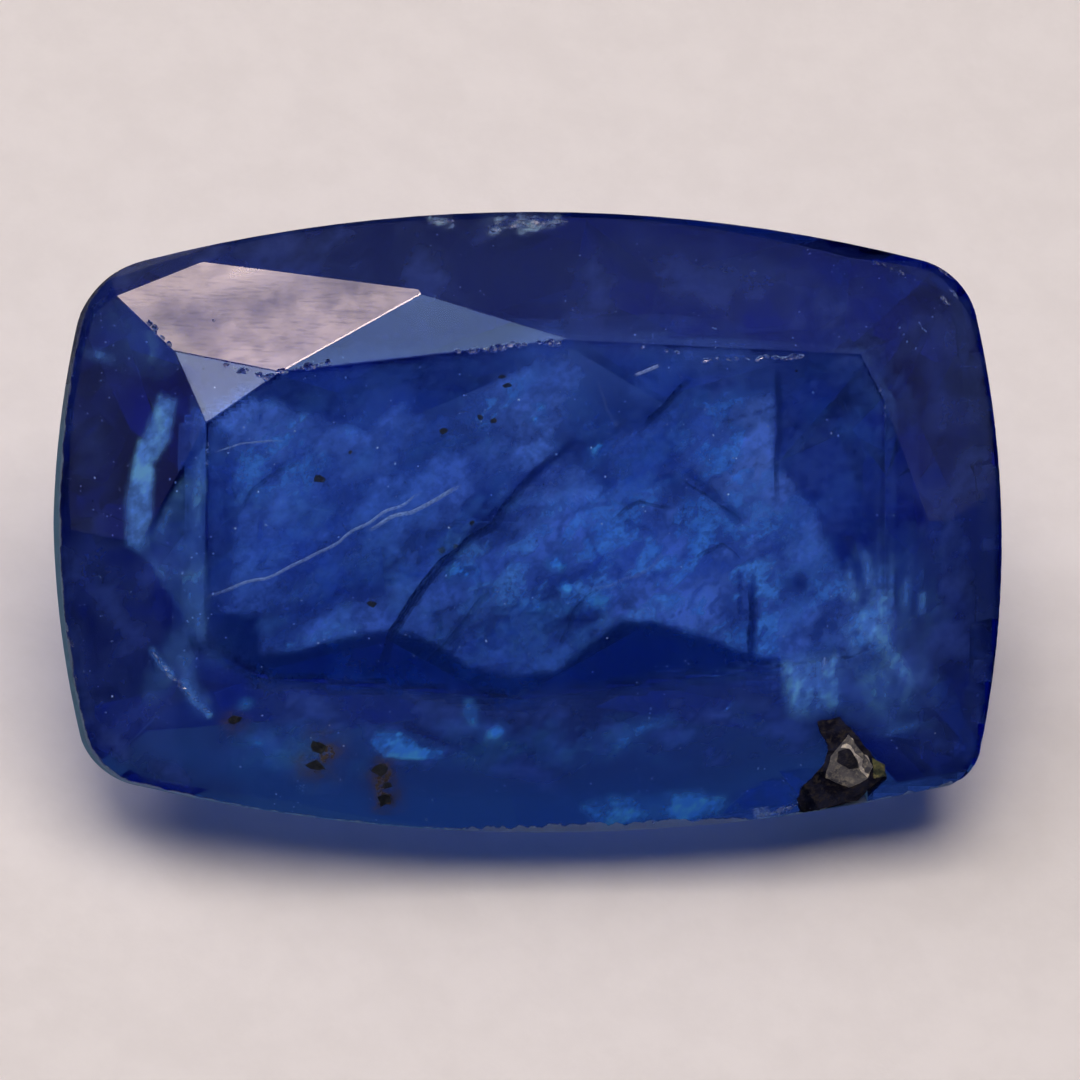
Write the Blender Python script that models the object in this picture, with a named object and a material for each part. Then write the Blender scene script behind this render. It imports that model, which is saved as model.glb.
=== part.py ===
"""A cushion-cut tanzanite: one faceted stone, lying on a pavilion facet with its table tipped forward.

The stone is cut as a gem cutter cuts it. The girdle outline is drawn as four shallow arcs with rounded
corners, raised into a blank, and the blank is sliced by one plane for each facet. A broken pit is then
taken out of the front edge, and the stone is laid on its front lower pavilion facet.

Cutting frame: +X is the stone's right end, +Y its back edge, +Z the way the table faces, and z = 0 is
the upper rim of the girdle. Lengths are in millimetres until the mesh is scaled to metres.
"""

import math

import bmesh
import bpy
from mathutils import Matrix, Vector

MM = 0.001

# Girdle outline: the points where the four side arcs would meet, and how far each arc bows outwards
CORNER_NW = Vector((-5.73, 3.20))
CORNER_NE = Vector((5.77, 3.29))
CORNER_SE = Vector((5.88, -3.37))
CORNER_SW = Vector((-5.71, -3.32))
NORTH_BOW = 0.80
EAST_BOW = 0.43
SOUTH_BOW = 0.72
WEST_BOW = 0.48
RADIUS_NW = 1.15
RADIUS_NE = 1.00
RADIUS_SE = 0.60
RADIUS_SW = 0.90
SIDE_STEPS = 20
CORNER_STEPS = 12

# The stone lies on its front main pavilion facet, so this slope is also the tilt of the table
REST_SLOPE = 36.0

# Heights, and how much smaller the blank is at the table than at the rim
TABLE_HEIGHT = 1.15
GIRDLE_DEPTH = 0.46
BLANK_DEPTH = 6.0
BLANK_TAPER_X = 0.91
BLANK_TAPER_Y = 0.86

# Crown: each corner of the table with the main facet below it (azimuth and slope in degrees), and the
# slope of the star facet on the table edge that runs clockwise to the next corner
CROWN = (
    ((-4.40, 1.23), 172, 31.0, 17.0),
    ((-3.43, 1.90), 102, 29.0, 23.0),
    ((0.36, 2.34), 89, 31.5, 23.0),
    ((4.19, 2.17), 65, 32.0, 25.0),
    ((4.51, 1.56), 6, 33.0, 25.5),
    ((4.51, -1.58), -6, 33.0, 23.5),
    ((4.06, -1.81), -76, 30.5, 22.5),
    ((-0.29, -2.35), -88, 34.5, 21.0),
    ((-3.68, -2.08), -103, 30.0, 21.0),
    ((-4.44, -1.63), -171, 32.5, 24.0),
)

# Extra crown facets along the back left edge: a point on the facet, its azimuth and its slope
CROWN_EXTRAS = (
    ((-1.42, 2.97, 0.80), 97.7, 35.2),
    ((-4.31, 3.36, 0.26), 108, 57.0),
)

# Pavilion: steep facets at the ends and corners that start under the girdle, by azimuth and slope
PAVILION_UPPER = (
    (8, 52.0),
    (-8, 52.0),
    (172, 52.0),
    (-172, 52.0),
    (45, 50.0),
    (-45, 50.0),
    (135, 50.0),
    (-135, 50.0),
)

# Steep pairs on the long sides that meet in a ridge below the table: a point on both, then each one's
# azimuth and slope
PAVILION_PAIRS = (
    ((-0.20, -2.40, -2.45), (-101, 48.5), (-80, 47.5)),
    ((0.70, 2.30, -2.50), (98, 48.5), (80, 48.0)),
)

# Main facets down to the keel: azimuth, slope and a point on the facet
PAVILION_MAINS = (
    (-90, REST_SLOPE, (-0.20, -2.40, -2.45)),
    (90, 37.0, (0.70, 2.30, -2.50)),
    (-112, 38.5, (-1.70, -1.46, -3.13)),
    (-68, 38.0, (1.64, -1.27, -3.27)),
    (48, 44.5, (3.60, 1.00, -3.40)),
    (132, 44.5, (-3.80, 1.00, -3.20)),
    (0, 45.0, (4.30, 0.0, -2.80)),
    (180, 45.0, (-4.50, 0.0, -2.60)),
)

# How close to a cutting plane a corner counts as lying on it
ON_PLANE = 1e-5

# The broken pit in the front edge: where it is centred, how wide and deep, and how it leans
PIT_CENTRE = (4.10, -3.42, 0.16)
PIT_RADIUS = 0.62
PIT_LENGTH = 1.30
PIT_SIDES = 5
PIT_LEAN = 62
PIT_TURN = 18
PIT_NARROWING = 0.3

# Neighbouring faces that turn by less than this, in degrees, belong to one round stretch of girdle
SHARP_ANGLE = 6


def arc_circle(start, end, bow):
    """Centre and radius of the arc from start to end, clockwise, that rises by bow at its middle."""
    chord = end - start
    half = chord.length / 2
    radius = (half * half + bow * bow) / (2 * bow)
    outward = Vector((-chord.y, chord.x)).normalized()
    centre = (start + end) / 2 - outward * (radius - bow)
    return centre, radius


def rounded_corner(circle_a, circle_b, near, radius):
    """Centre of the corner arc that touches two side arcs from inside, and the two points of touch."""
    (centre_a, radius_a), (centre_b, radius_b) = circle_a, circle_b
    reach_a = radius_a - radius
    reach_b = radius_b - radius
    between = centre_b - centre_a
    distance = between.length
    along = (distance**2 + reach_a**2 - reach_b**2) / (2 * distance)
    across = math.sqrt(reach_a**2 - along**2)
    foot = centre_a + between.normalized() * along
    side = Vector((-between.y, between.x)).normalized()
    centre = min((foot + side * across, foot - side * across), key=lambda p: (p - near).length)
    touch_a = centre_a + (centre - centre_a).normalized() * radius_a
    touch_b = centre_b + (centre - centre_b).normalized() * radius_b
    return centre, touch_a, touch_b


def arc_points(centre, start, end, steps):
    """Points from start towards end, clockwise about centre, without the end itself."""
    first = start - centre
    last = end - centre
    sweep = first.angle_signed(last)
    points = []
    for step in range(steps):
        turned = first.copy()
        turned.rotate(Matrix.Rotation(-sweep * step / steps, 2))
        points.append(centre + turned)
    return points


def girdle_outline():
    """The cushion outline, clockwise seen from the table, as a list of 2D points."""
    corners = (CORNER_NW, CORNER_NE, CORNER_SE, CORNER_SW)
    bows = (NORTH_BOW, EAST_BOW, SOUTH_BOW, WEST_BOW)
    radii = (RADIUS_NW, RADIUS_NE, RADIUS_SE, RADIUS_SW)
    sides = [arc_circle(corners[i], corners[(i + 1) % 4], bows[i]) for i in range(4)]
    turns = [rounded_corner(sides[i - 1], sides[i], corners[i], radii[i]) for i in range(4)]
    points = []
    for i in range(4):
        centre, arrive, leave = turns[i]
        next_arrive = turns[(i + 1) % 4][1]
        points += arc_points(centre, arrive, leave, CORNER_STEPS)
        points += arc_points(sides[i][0], leave, next_arrive, SIDE_STEPS)
    return points


def blank_mesh(outline):
    """The uncut blank: upright below the rim and leaning slightly inwards above it."""
    bm = bmesh.new()
    base = bm.faces.new([bm.verts.new((p.x, p.y, -BLANK_DEPTH)) for p in outline])
    rise_to_rim = bmesh.ops.extrude_face_region(bm, geom=[base])
    rim = [v for v in rise_to_rim["geom"] if isinstance(v, bmesh.types.BMVert)]
    bmesh.ops.translate(bm, verts=rim, vec=(0, 0, BLANK_DEPTH))
    rim_face = [f for f in rise_to_rim["geom"] if isinstance(f, bmesh.types.BMFace)]
    rise_to_table = bmesh.ops.extrude_face_region(bm, geom=rim_face)
    top = [v for v in rise_to_table["geom"] if isinstance(v, bmesh.types.BMVert)]
    bmesh.ops.translate(bm, verts=top, vec=(0, 0, TABLE_HEIGHT))
    bmesh.ops.scale(bm, verts=top, vec=(BLANK_TAPER_X, BLANK_TAPER_Y, 1))
    bmesh.ops.delete(bm, geom=rim_face, context="FACES_ONLY")
    bmesh.ops.recalc_face_normals(bm, faces=bm.faces)
    return bm


def facet_normal(azimuth, slope, upward):
    """Outward normal of a facet that slopes down from the table, or up from the culet."""
    a = math.radians(azimuth)
    s = math.radians(slope)
    return Vector((math.cos(a) * math.sin(s), math.sin(a) * math.sin(s), math.cos(s) * upward))


def cut_facet(bm, point, normal):
    """Slice the stone by a plane, drop what is outside it and close the cut with one flat face."""
    everything = bm.verts[:] + bm.edges[:] + bm.faces[:]
    bmesh.ops.bisect_plane(
        bm, geom=everything, dist=ON_PLANE, plane_co=point, plane_no=normal, clear_outer=True
    )
    rim = [e for e in bm.edges if e.is_boundary]
    if rim:
        bmesh.ops.holes_fill(bm, edges=rim)


def cut_crown(bm):
    """Ten main facets, ten star facets and the extra facets of the back left edge."""
    corners = [Vector((x, y, TABLE_HEIGHT)) for (x, y), _, _, _ in CROWN]
    for i, (_, azimuth, slope, star_slope) in enumerate(CROWN):
        cut_facet(bm, corners[i], facet_normal(azimuth, slope, 1))
        edge = corners[(i + 1) % len(corners)] - corners[i]
        star_azimuth = math.degrees(math.atan2(edge.x, -edge.y))
        cut_facet(bm, corners[i], facet_normal(star_azimuth, star_slope, 1))
    for point, azimuth, slope in CROWN_EXTRAS:
        cut_facet(bm, Vector(point), facet_normal(azimuth, slope, 1))


def cut_pavilion(bm, outline):
    """Steep upper facets that start under the girdle, then the shallower ones that meet in the keel."""
    for azimuth, slope in PAVILION_UPPER:
        a = math.radians(azimuth)
        outward = Vector((math.cos(a), math.sin(a)))
        widest = max(outline, key=outward.dot)
        point = Vector((widest.x, widest.y, -GIRDLE_DEPTH))
        cut_facet(bm, point, facet_normal(azimuth, slope, -1))
    for point, left, right in PAVILION_PAIRS:
        cut_facet(bm, Vector(point), facet_normal(*left, -1))
        cut_facet(bm, Vector(point), facet_normal(*right, -1))
    for azimuth, slope, point in PAVILION_MAINS:
        cut_facet(bm, Vector(point), facet_normal(azimuth, slope, -1))


def lay_down(bm):
    """Tip the stone forward onto its front lower pavilion facet and centre it over the origin."""
    bmesh.ops.rotate(bm, verts=bm.verts, matrix=Matrix.Rotation(math.radians(REST_SLOPE), 3, "X"))
    low = Vector([min(v.co[k] for v in bm.verts) for k in range(3)])
    high = Vector([max(v.co[k] for v in bm.verts) for k in range(3)])
    middle = (low + high) / 2
    shift = Vector((-middle.x, -middle.y, -low.z))
    bmesh.ops.translate(bm, verts=bm.verts, vec=shift)
    return shift


def pit_mesh(shift):
    """The cutter for the broken pit, a five-sided splinter shape, laid down with the stone."""
    bm = bmesh.new()
    bmesh.ops.create_cone(
        bm,
        cap_ends=True,
        segments=PIT_SIDES,
        radius1=PIT_RADIUS * PIT_NARROWING,
        radius2=PIT_RADIUS,
        depth=PIT_LENGTH,
    )
    bmesh.ops.rotate(bm, verts=bm.verts, matrix=Matrix.Rotation(math.radians(PIT_TURN), 3, "Z"))
    bmesh.ops.rotate(bm, verts=bm.verts, matrix=Matrix.Rotation(math.radians(PIT_LEAN), 3, "X"))
    bmesh.ops.translate(bm, verts=bm.verts, vec=PIT_CENTRE)
    bmesh.ops.rotate(bm, verts=bm.verts, matrix=Matrix.Rotation(math.radians(REST_SLOPE), 3, "X"))
    bmesh.ops.translate(bm, verts=bm.verts, vec=shift)
    return bm


def add_object(name, bm, material=None):
    """Turn a mesh in millimetres into an object in metres, smooth round the girdle, crisp at the facets."""
    bmesh.ops.scale(bm, verts=bm.verts, vec=(MM, MM, MM))
    mesh = bpy.data.meshes.new(name)
    bm.to_mesh(mesh)
    bm.free()
    mesh.shade_smooth()
    mesh.set_sharp_from_angle(angle=math.radians(SHARP_ANGLE))
    if material:
        mesh.materials.append(material)
    obj = bpy.data.objects.new(name, mesh)
    bpy.context.scene.collection.objects.link(obj)
    return obj


def stone_material():
    """Deep blue clear crystal."""
    material = bpy.data.materials.new("tanzanite crystal")
    material.use_nodes = True
    shader = material.node_tree.nodes["Principled BSDF"]
    shader.inputs["Base Color"].default_value = (0.02, 0.07, 0.38, 1)
    shader.inputs["Roughness"].default_value = 0.05
    shader.inputs["IOR"].default_value = 1.69
    shader.inputs["Transmission Weight"].default_value = 1.0
    return material


def main():
    """Cut the stone, lay it down and break the pit out of its front edge."""
    for obj in list(bpy.data.objects):
        bpy.data.objects.remove(obj, do_unlink=True)

    outline = girdle_outline()
    stone = blank_mesh(outline)
    cut_crown(stone)
    cut_pavilion(stone, outline)
    shift = lay_down(stone)
    tanzanite = add_object("tanzanite", stone, stone_material())

    pit = add_object("pit_cutter", pit_mesh(shift))
    pit.hide_render = True
    pit.display_type = "WIRE"
    breakage = tanzanite.modifiers.new("broken pit", "BOOLEAN")
    breakage.operation = "DIFFERENCE"
    breakage.solver = "EXACT"
    breakage.object = pit


main()
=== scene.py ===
"""Looks of the tanzanite: worn see-through crystal with everything that is sealed in it.

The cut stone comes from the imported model. Its copy gets worn edges, chips and a frosted girdle. Veils,
feathers, cracks, graphite flakes and specks are placed in the crystal along sight lines of the photograph,
bent at the facet as light is, and a grain of host rock sits in the broken pit.
"""

import logging
import math
import random
from dataclasses import dataclass
from enum import Enum
from typing import Any, Iterable, Sequence

import bmesh
import bpy
from mathutils import Matrix, Vector, noise
from mathutils.bvhtree import BVHTree


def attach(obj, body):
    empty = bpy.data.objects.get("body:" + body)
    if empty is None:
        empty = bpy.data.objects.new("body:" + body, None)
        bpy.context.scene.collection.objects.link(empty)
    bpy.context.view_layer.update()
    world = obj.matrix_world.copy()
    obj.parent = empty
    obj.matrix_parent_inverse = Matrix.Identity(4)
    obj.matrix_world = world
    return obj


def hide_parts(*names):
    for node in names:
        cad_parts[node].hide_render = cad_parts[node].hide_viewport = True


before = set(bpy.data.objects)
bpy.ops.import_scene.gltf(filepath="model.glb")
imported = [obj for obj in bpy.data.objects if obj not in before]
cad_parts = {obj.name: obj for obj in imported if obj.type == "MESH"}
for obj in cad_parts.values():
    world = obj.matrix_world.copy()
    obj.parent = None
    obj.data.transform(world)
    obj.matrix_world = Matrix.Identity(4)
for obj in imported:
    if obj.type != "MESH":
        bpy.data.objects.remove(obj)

LOG = logging.getLogger("tanzanite")
MM = 0.001
PHOTO_SIDE = 1080
PIXELS_PER_MM = 76.5
SAME_POINT = 1e-7
CRYSTAL_IOR = 1.69

Pixel = tuple[float, float]
Colour = tuple[float, float, float, float]


class Slot(Enum):
    """The material slots."""

    CRYSTAL = "crystal"
    CLOUD = "cloud"
    FRACTURE = "fracture"
    GRAPHITE = "graphite"
    MINERAL = "mineral"


class Wear(Enum):
    """What a face of the worn stone is, as its material index while the stone is being made."""

    POLISHED = 0
    CHIPPED = 1
    RUBBED = 2


def finished(name: str, mesh: bpy.types.Mesh, material: bpy.types.Material) -> bpy.types.Object:
    """Put a mesh in the scene as a piece of the stone.

    Args:
        name: The piece's name.
        mesh: Its mesh, in metres, already in place.
        material: Its finish.

    Returns:
        The new object, riding on the stone's body.
    """
    mesh.materials.clear()
    mesh.materials.append(material)
    piece = bpy.data.objects.new(name, mesh)
    bpy.context.scene.collection.objects.link(piece)
    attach(piece, "root")
    return piece


def mesh_of(name: str, bm: bmesh.types.BMesh) -> bpy.types.Mesh:
    """Turn a bmesh into a mesh and free it.

    Args:
        name: The mesh's name.
        bm: The bmesh, which can't be used afterwards.

    Returns:
        The new mesh.
    """
    mesh = bpy.data.meshes.new(name)
    bm.to_mesh(mesh)
    bm.free()
    return mesh


@dataclass(frozen=True)
class CuttingFrame:
    """The cutter's axes in mm: +X right end, +Y back edge, +Z out of the table, 0 at the girdle's upper rim."""

    tilt_deg: float = 36.0
    shift: tuple[float, float, float] = (-0.02841, -0.16655, 3.39278)

    @property
    def turn(self) -> Matrix:
        """The rotation from the cutter's axes to the row's."""
        return Matrix.Rotation(math.radians(self.tilt_deg), 3, "X")

    def place(self, x: float, y: float, z: float) -> Vector:
        """A point given in the cutter's axes, in metres in the row's frame."""
        return (self.turn @ Vector((x, y, z)) + Vector(self.shift)) * MM

    def facing(self, azimuth_deg: float, slope_deg: float) -> Vector:
        """Outward normal, in the row's frame, of a crown facet with this azimuth and slope.

        Args:
            azimuth_deg: The way that it faces, from the right end towards the back edge.
            slope_deg: How far it slopes down from the table.

        Returns:
            A vector of length 1.
        """
        azimuth, slope = math.radians(azimuth_deg), math.radians(slope_deg)
        flat = Vector((math.cos(azimuth), math.sin(azimuth), 0)) * math.sin(slope)
        return self.turn @ (flat + Vector((0, 0, math.cos(slope))))


@dataclass(frozen=True)
class PhotoCamera:
    """The camera, almost square to the table and a little to its left."""

    cut: CuttingFrame
    left_deg: float = 8.0
    front_deg: float = 1.2
    distance: float = 0.18
    aim: tuple[float, float, float] = (0.13, -0.248, 0.0)
    sensor: float = 36.0

    @property
    def target(self) -> Vector:
        """The point that shows in the middle of the picture."""
        return self.cut.place(*self.aim)

    @property
    def axes(self) -> tuple[Vector, Vector, Vector]:
        """Right, up and back of the picture, in the row's frame.

        Returns:
            Three vectors of length 1.
        """
        left, front = math.radians(self.left_deg), math.radians(self.front_deg)
        back = (self.cut.turn @ Vector((-math.sin(left), -math.sin(front), math.cos(left)))).normalized()
        along = self.cut.turn @ Vector((0, 1, 0))
        up = (along - back * along.dot(back)).normalized()
        return up.cross(back).normalized(), up, back

    def sight(self, pixel: Pixel) -> tuple[Vector, Vector]:
        """The line of sight through a pixel of the photograph.

        Args:
            pixel: Its place in the 1080 x 1080 picture.

        Returns:
            Where the line starts, and its direction.
        """
        right, up, back = self.axes
        start = self.target + back * self.distance
        across = (pixel[0] - PHOTO_SIDE / 2) / PIXELS_PER_MM * MM
        down = (pixel[1] - PHOTO_SIDE / 2) / PIXELS_PER_MM * MM
        through = self.target + right * across - up * down
        return start, (through - start).normalized()

    def add(self) -> None:
        """Make the scene's camera."""
        right, up, back = self.axes
        data = bpy.data.cameras.new("camera")
        data.sensor_width = self.sensor
        data.lens = self.sensor * self.distance / (PHOTO_SIDE / PIXELS_PER_MM * MM)
        data.clip_start = MM
        camera = bpy.data.objects.new("camera", data)
        bpy.context.scene.collection.objects.link(camera)
        stand = Matrix((right, up, back)).transposed().to_4x4()
        stand.translation = self.target + back * self.distance
        camera.matrix_world = stand
        bpy.context.scene.camera = camera


class Sight:
    """Finds places on and in the stone from pixels of the photograph."""

    def __init__(self, camera: PhotoCamera, solid: bmesh.types.BMesh, bend: float = CRYSTAL_IOR) -> None:
        """Keep the camera and the stone's surface.

        Args:
            camera: The camera that the pixels belong to.
            solid: The stone with its doubles merged.
            bend: The crystal's index of refraction.
        """
        self.camera = camera
        self.bend = bend
        self.tree = BVHTree.FromBMesh(solid)

    def surface(self, pixel: Pixel) -> tuple[Vector, Vector]:
        """The point of the stone that shows at a pixel, and its outward normal.

        Args:
            pixel: The place in the photograph.

        Returns:
            The point and the normal, or the nearest ones where the sight line misses the stone.
        """
        start, direction = self.camera.sight(pixel)
        point, normal, _, _ = self.tree.ray_cast(start, direction)
        if point is None:
            point, normal, _, _ = self.tree.find_nearest(self.nearest_on(start, direction))
        return point, normal

    def nearest_on(self, start: Vector, direction: Vector) -> Vector:
        """The point of a sight line that lies in the camera's plane of aim.

        Args:
            start: Where the sight line starts.
            direction: Its direction.

        Returns:
            The point, in metres.
        """
        back = self.camera.axes[2]
        reach = (self.camera.target - start).dot(back) / direction.dot(back)
        return start + direction * reach

    def inside(self, pixel: Pixel, depth: float) -> Vector:
        """A place in the crystal that shows at a pixel.

        Args:
            pixel: Where it shows in the photograph.
            depth: How far behind the surface it lies along the bent sight line, in mm.

        Returns:
            The place, never nearer than 5% of the way to the far side.
        """
        point, normal = self.surface(pixel)
        direction = self.camera.sight(pixel)[1]
        into = self.refracted(direction, normal)
        entry = point + into * 0.01 * MM
        far = self.tree.ray_cast(entry, into)[3]
        room = 0.95 * far if far else 0.0
        return entry + into * min(depth * MM, room)

    def refracted(self, direction: Vector, normal: Vector) -> Vector:
        """The direction of a sight line after it has entered the crystal.

        Args:
            direction: The direction outside, of length 1.
            normal: The outward normal of the facet that it meets.

        Returns:
            The direction inside, of length 1.
        """
        ratio = 1 / self.bend
        facing = -direction.dot(normal)
        inner = math.sqrt(max(0.0, 1 - ratio * ratio * (1 - facing * facing)))
        return (direction * ratio + normal * (ratio * facing - inner)).normalized()


class Bench:
    """A material's nodes while it is being made, with one short call for each node."""

    def __init__(self, name: str, cut: CuttingFrame) -> None:
        """Start an empty material whose patterns run along the cutter's axes.

        Args:
            name: The material's name.
            cut: The cutter's axes.
        """
        self.material = bpy.data.materials.new(name)
        self.material.use_nodes = True
        self.tree = self.material.node_tree
        self.tree.nodes.clear()
        self.output = self.add("OutputMaterial")
        place = self.add("TexCoord").outputs["Object"]
        shift = cut.turn.transposed() @ Vector(cut.shift)
        self.mm = self.add(
            "Mapping",
            {
                "Vector": place,
                "Scale": (1 / MM,) * 3,
                "Rotation": (-math.radians(cut.tilt_deg), 0, 0),
                "Location": -shift,
            },
        ).outputs[0]

    def add(self, kind: str, feeds: dict[Any, Any] | None = None, **settings: Any) -> bpy.types.Node:
        """Add a node.

        Args:
            kind: Its type, without the leading ShaderNode.
            feeds: A value or another node's output for each input, by name or number.
            settings: The node's own properties.

        Returns:
            The node.
        """
        node = self.tree.nodes.new("ShaderNode" + kind)
        for key, value in settings.items():
            setattr(node, key, value)
        for key, value in (feeds or {}).items():
            if isinstance(value, bpy.types.NodeSocket):
                self.tree.links.new(value, node.inputs[key])
            else:
                node.inputs[key].default_value = value
        return node

    def maths(self, operation: str, first: Any, second: Any = 0.0, clamp: bool = False) -> Any:
        """The output of a maths node on two values or outputs."""
        return self.add("Math", {0: first, 1: second}, operation=operation, use_clamp=clamp).outputs[0]

    def span(self, value: Any, low: float, high: float, to: tuple[float, float] = (0.0, 1.0)) -> Any:
        """Map low..high smoothly to the range in to, clamped at both ends."""
        feeds = {"Value": value, "From Min": low, "From Max": high, "To Min": to[0], "To Max": to[1]}
        return self.add("MapRange", feeds, interpolation_type="SMOOTHSTEP").outputs["Result"]

    def stretched(self, scale: Sequence[float], turn_deg: float = 0.0, move: float = 0.0) -> Any:
        """The cutter's coordinates turned about the table's normal, then scaled along each axis.

        Args:
            scale: The factor along each axis.
            turn_deg: The turn about the table's normal.
            move: A shift along all three axes, in mm.

        Returns:
            The output that carries the coordinates.
        """
        turned = self.add(
            "Mapping",
            {"Vector": self.mm, "Rotation": (0, 0, math.radians(turn_deg)), "Location": (move, move, move)},
        ).outputs[0]
        return self.add("Mapping", {"Vector": turned, "Scale": tuple(scale)}).outputs[0]

    def noise(self, scale: float, detail: float = 3.0, rough: float = 0.5, where: Any = None) -> Any:
        """The value of a noise pattern with scale waves per mm."""
        feeds = {"Vector": where or self.mm, "Scale": scale, "Detail": detail, "Roughness": rough}
        return self.add("TexNoise", feeds).outputs["Fac"]

    def attribute(self, name: str) -> Any:
        """The value that the mesh carries under a name."""
        return self.add("Attribute", attribute_name=name, attribute_type="GEOMETRY").outputs["Fac"]

    def blend(self, share: Any, first: Any, second: Any) -> Any:
        """A colour between two, by share.

        Args:
            share: How much of the second colour, from 0 to 1.
            first: A colour or an output.
            second: The other colour or output.

        Returns:
            The output that carries the colour.
        """
        node = self.add("Mix", data_type="RGBA")
        for socket, value in zip((node.inputs[0], node.inputs[6], node.inputs[7]), (share, first, second)):
            if isinstance(value, bpy.types.NodeSocket):
                self.tree.links.new(value, socket)
            else:
                socket.default_value = value
        return node.outputs[2]

    def finish(self, surface: Any) -> bpy.types.Material:
        """Join the surface to the output and hand over the material."""
        self.tree.links.new(surface, self.output.inputs["Surface"])
        return self.material


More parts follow.
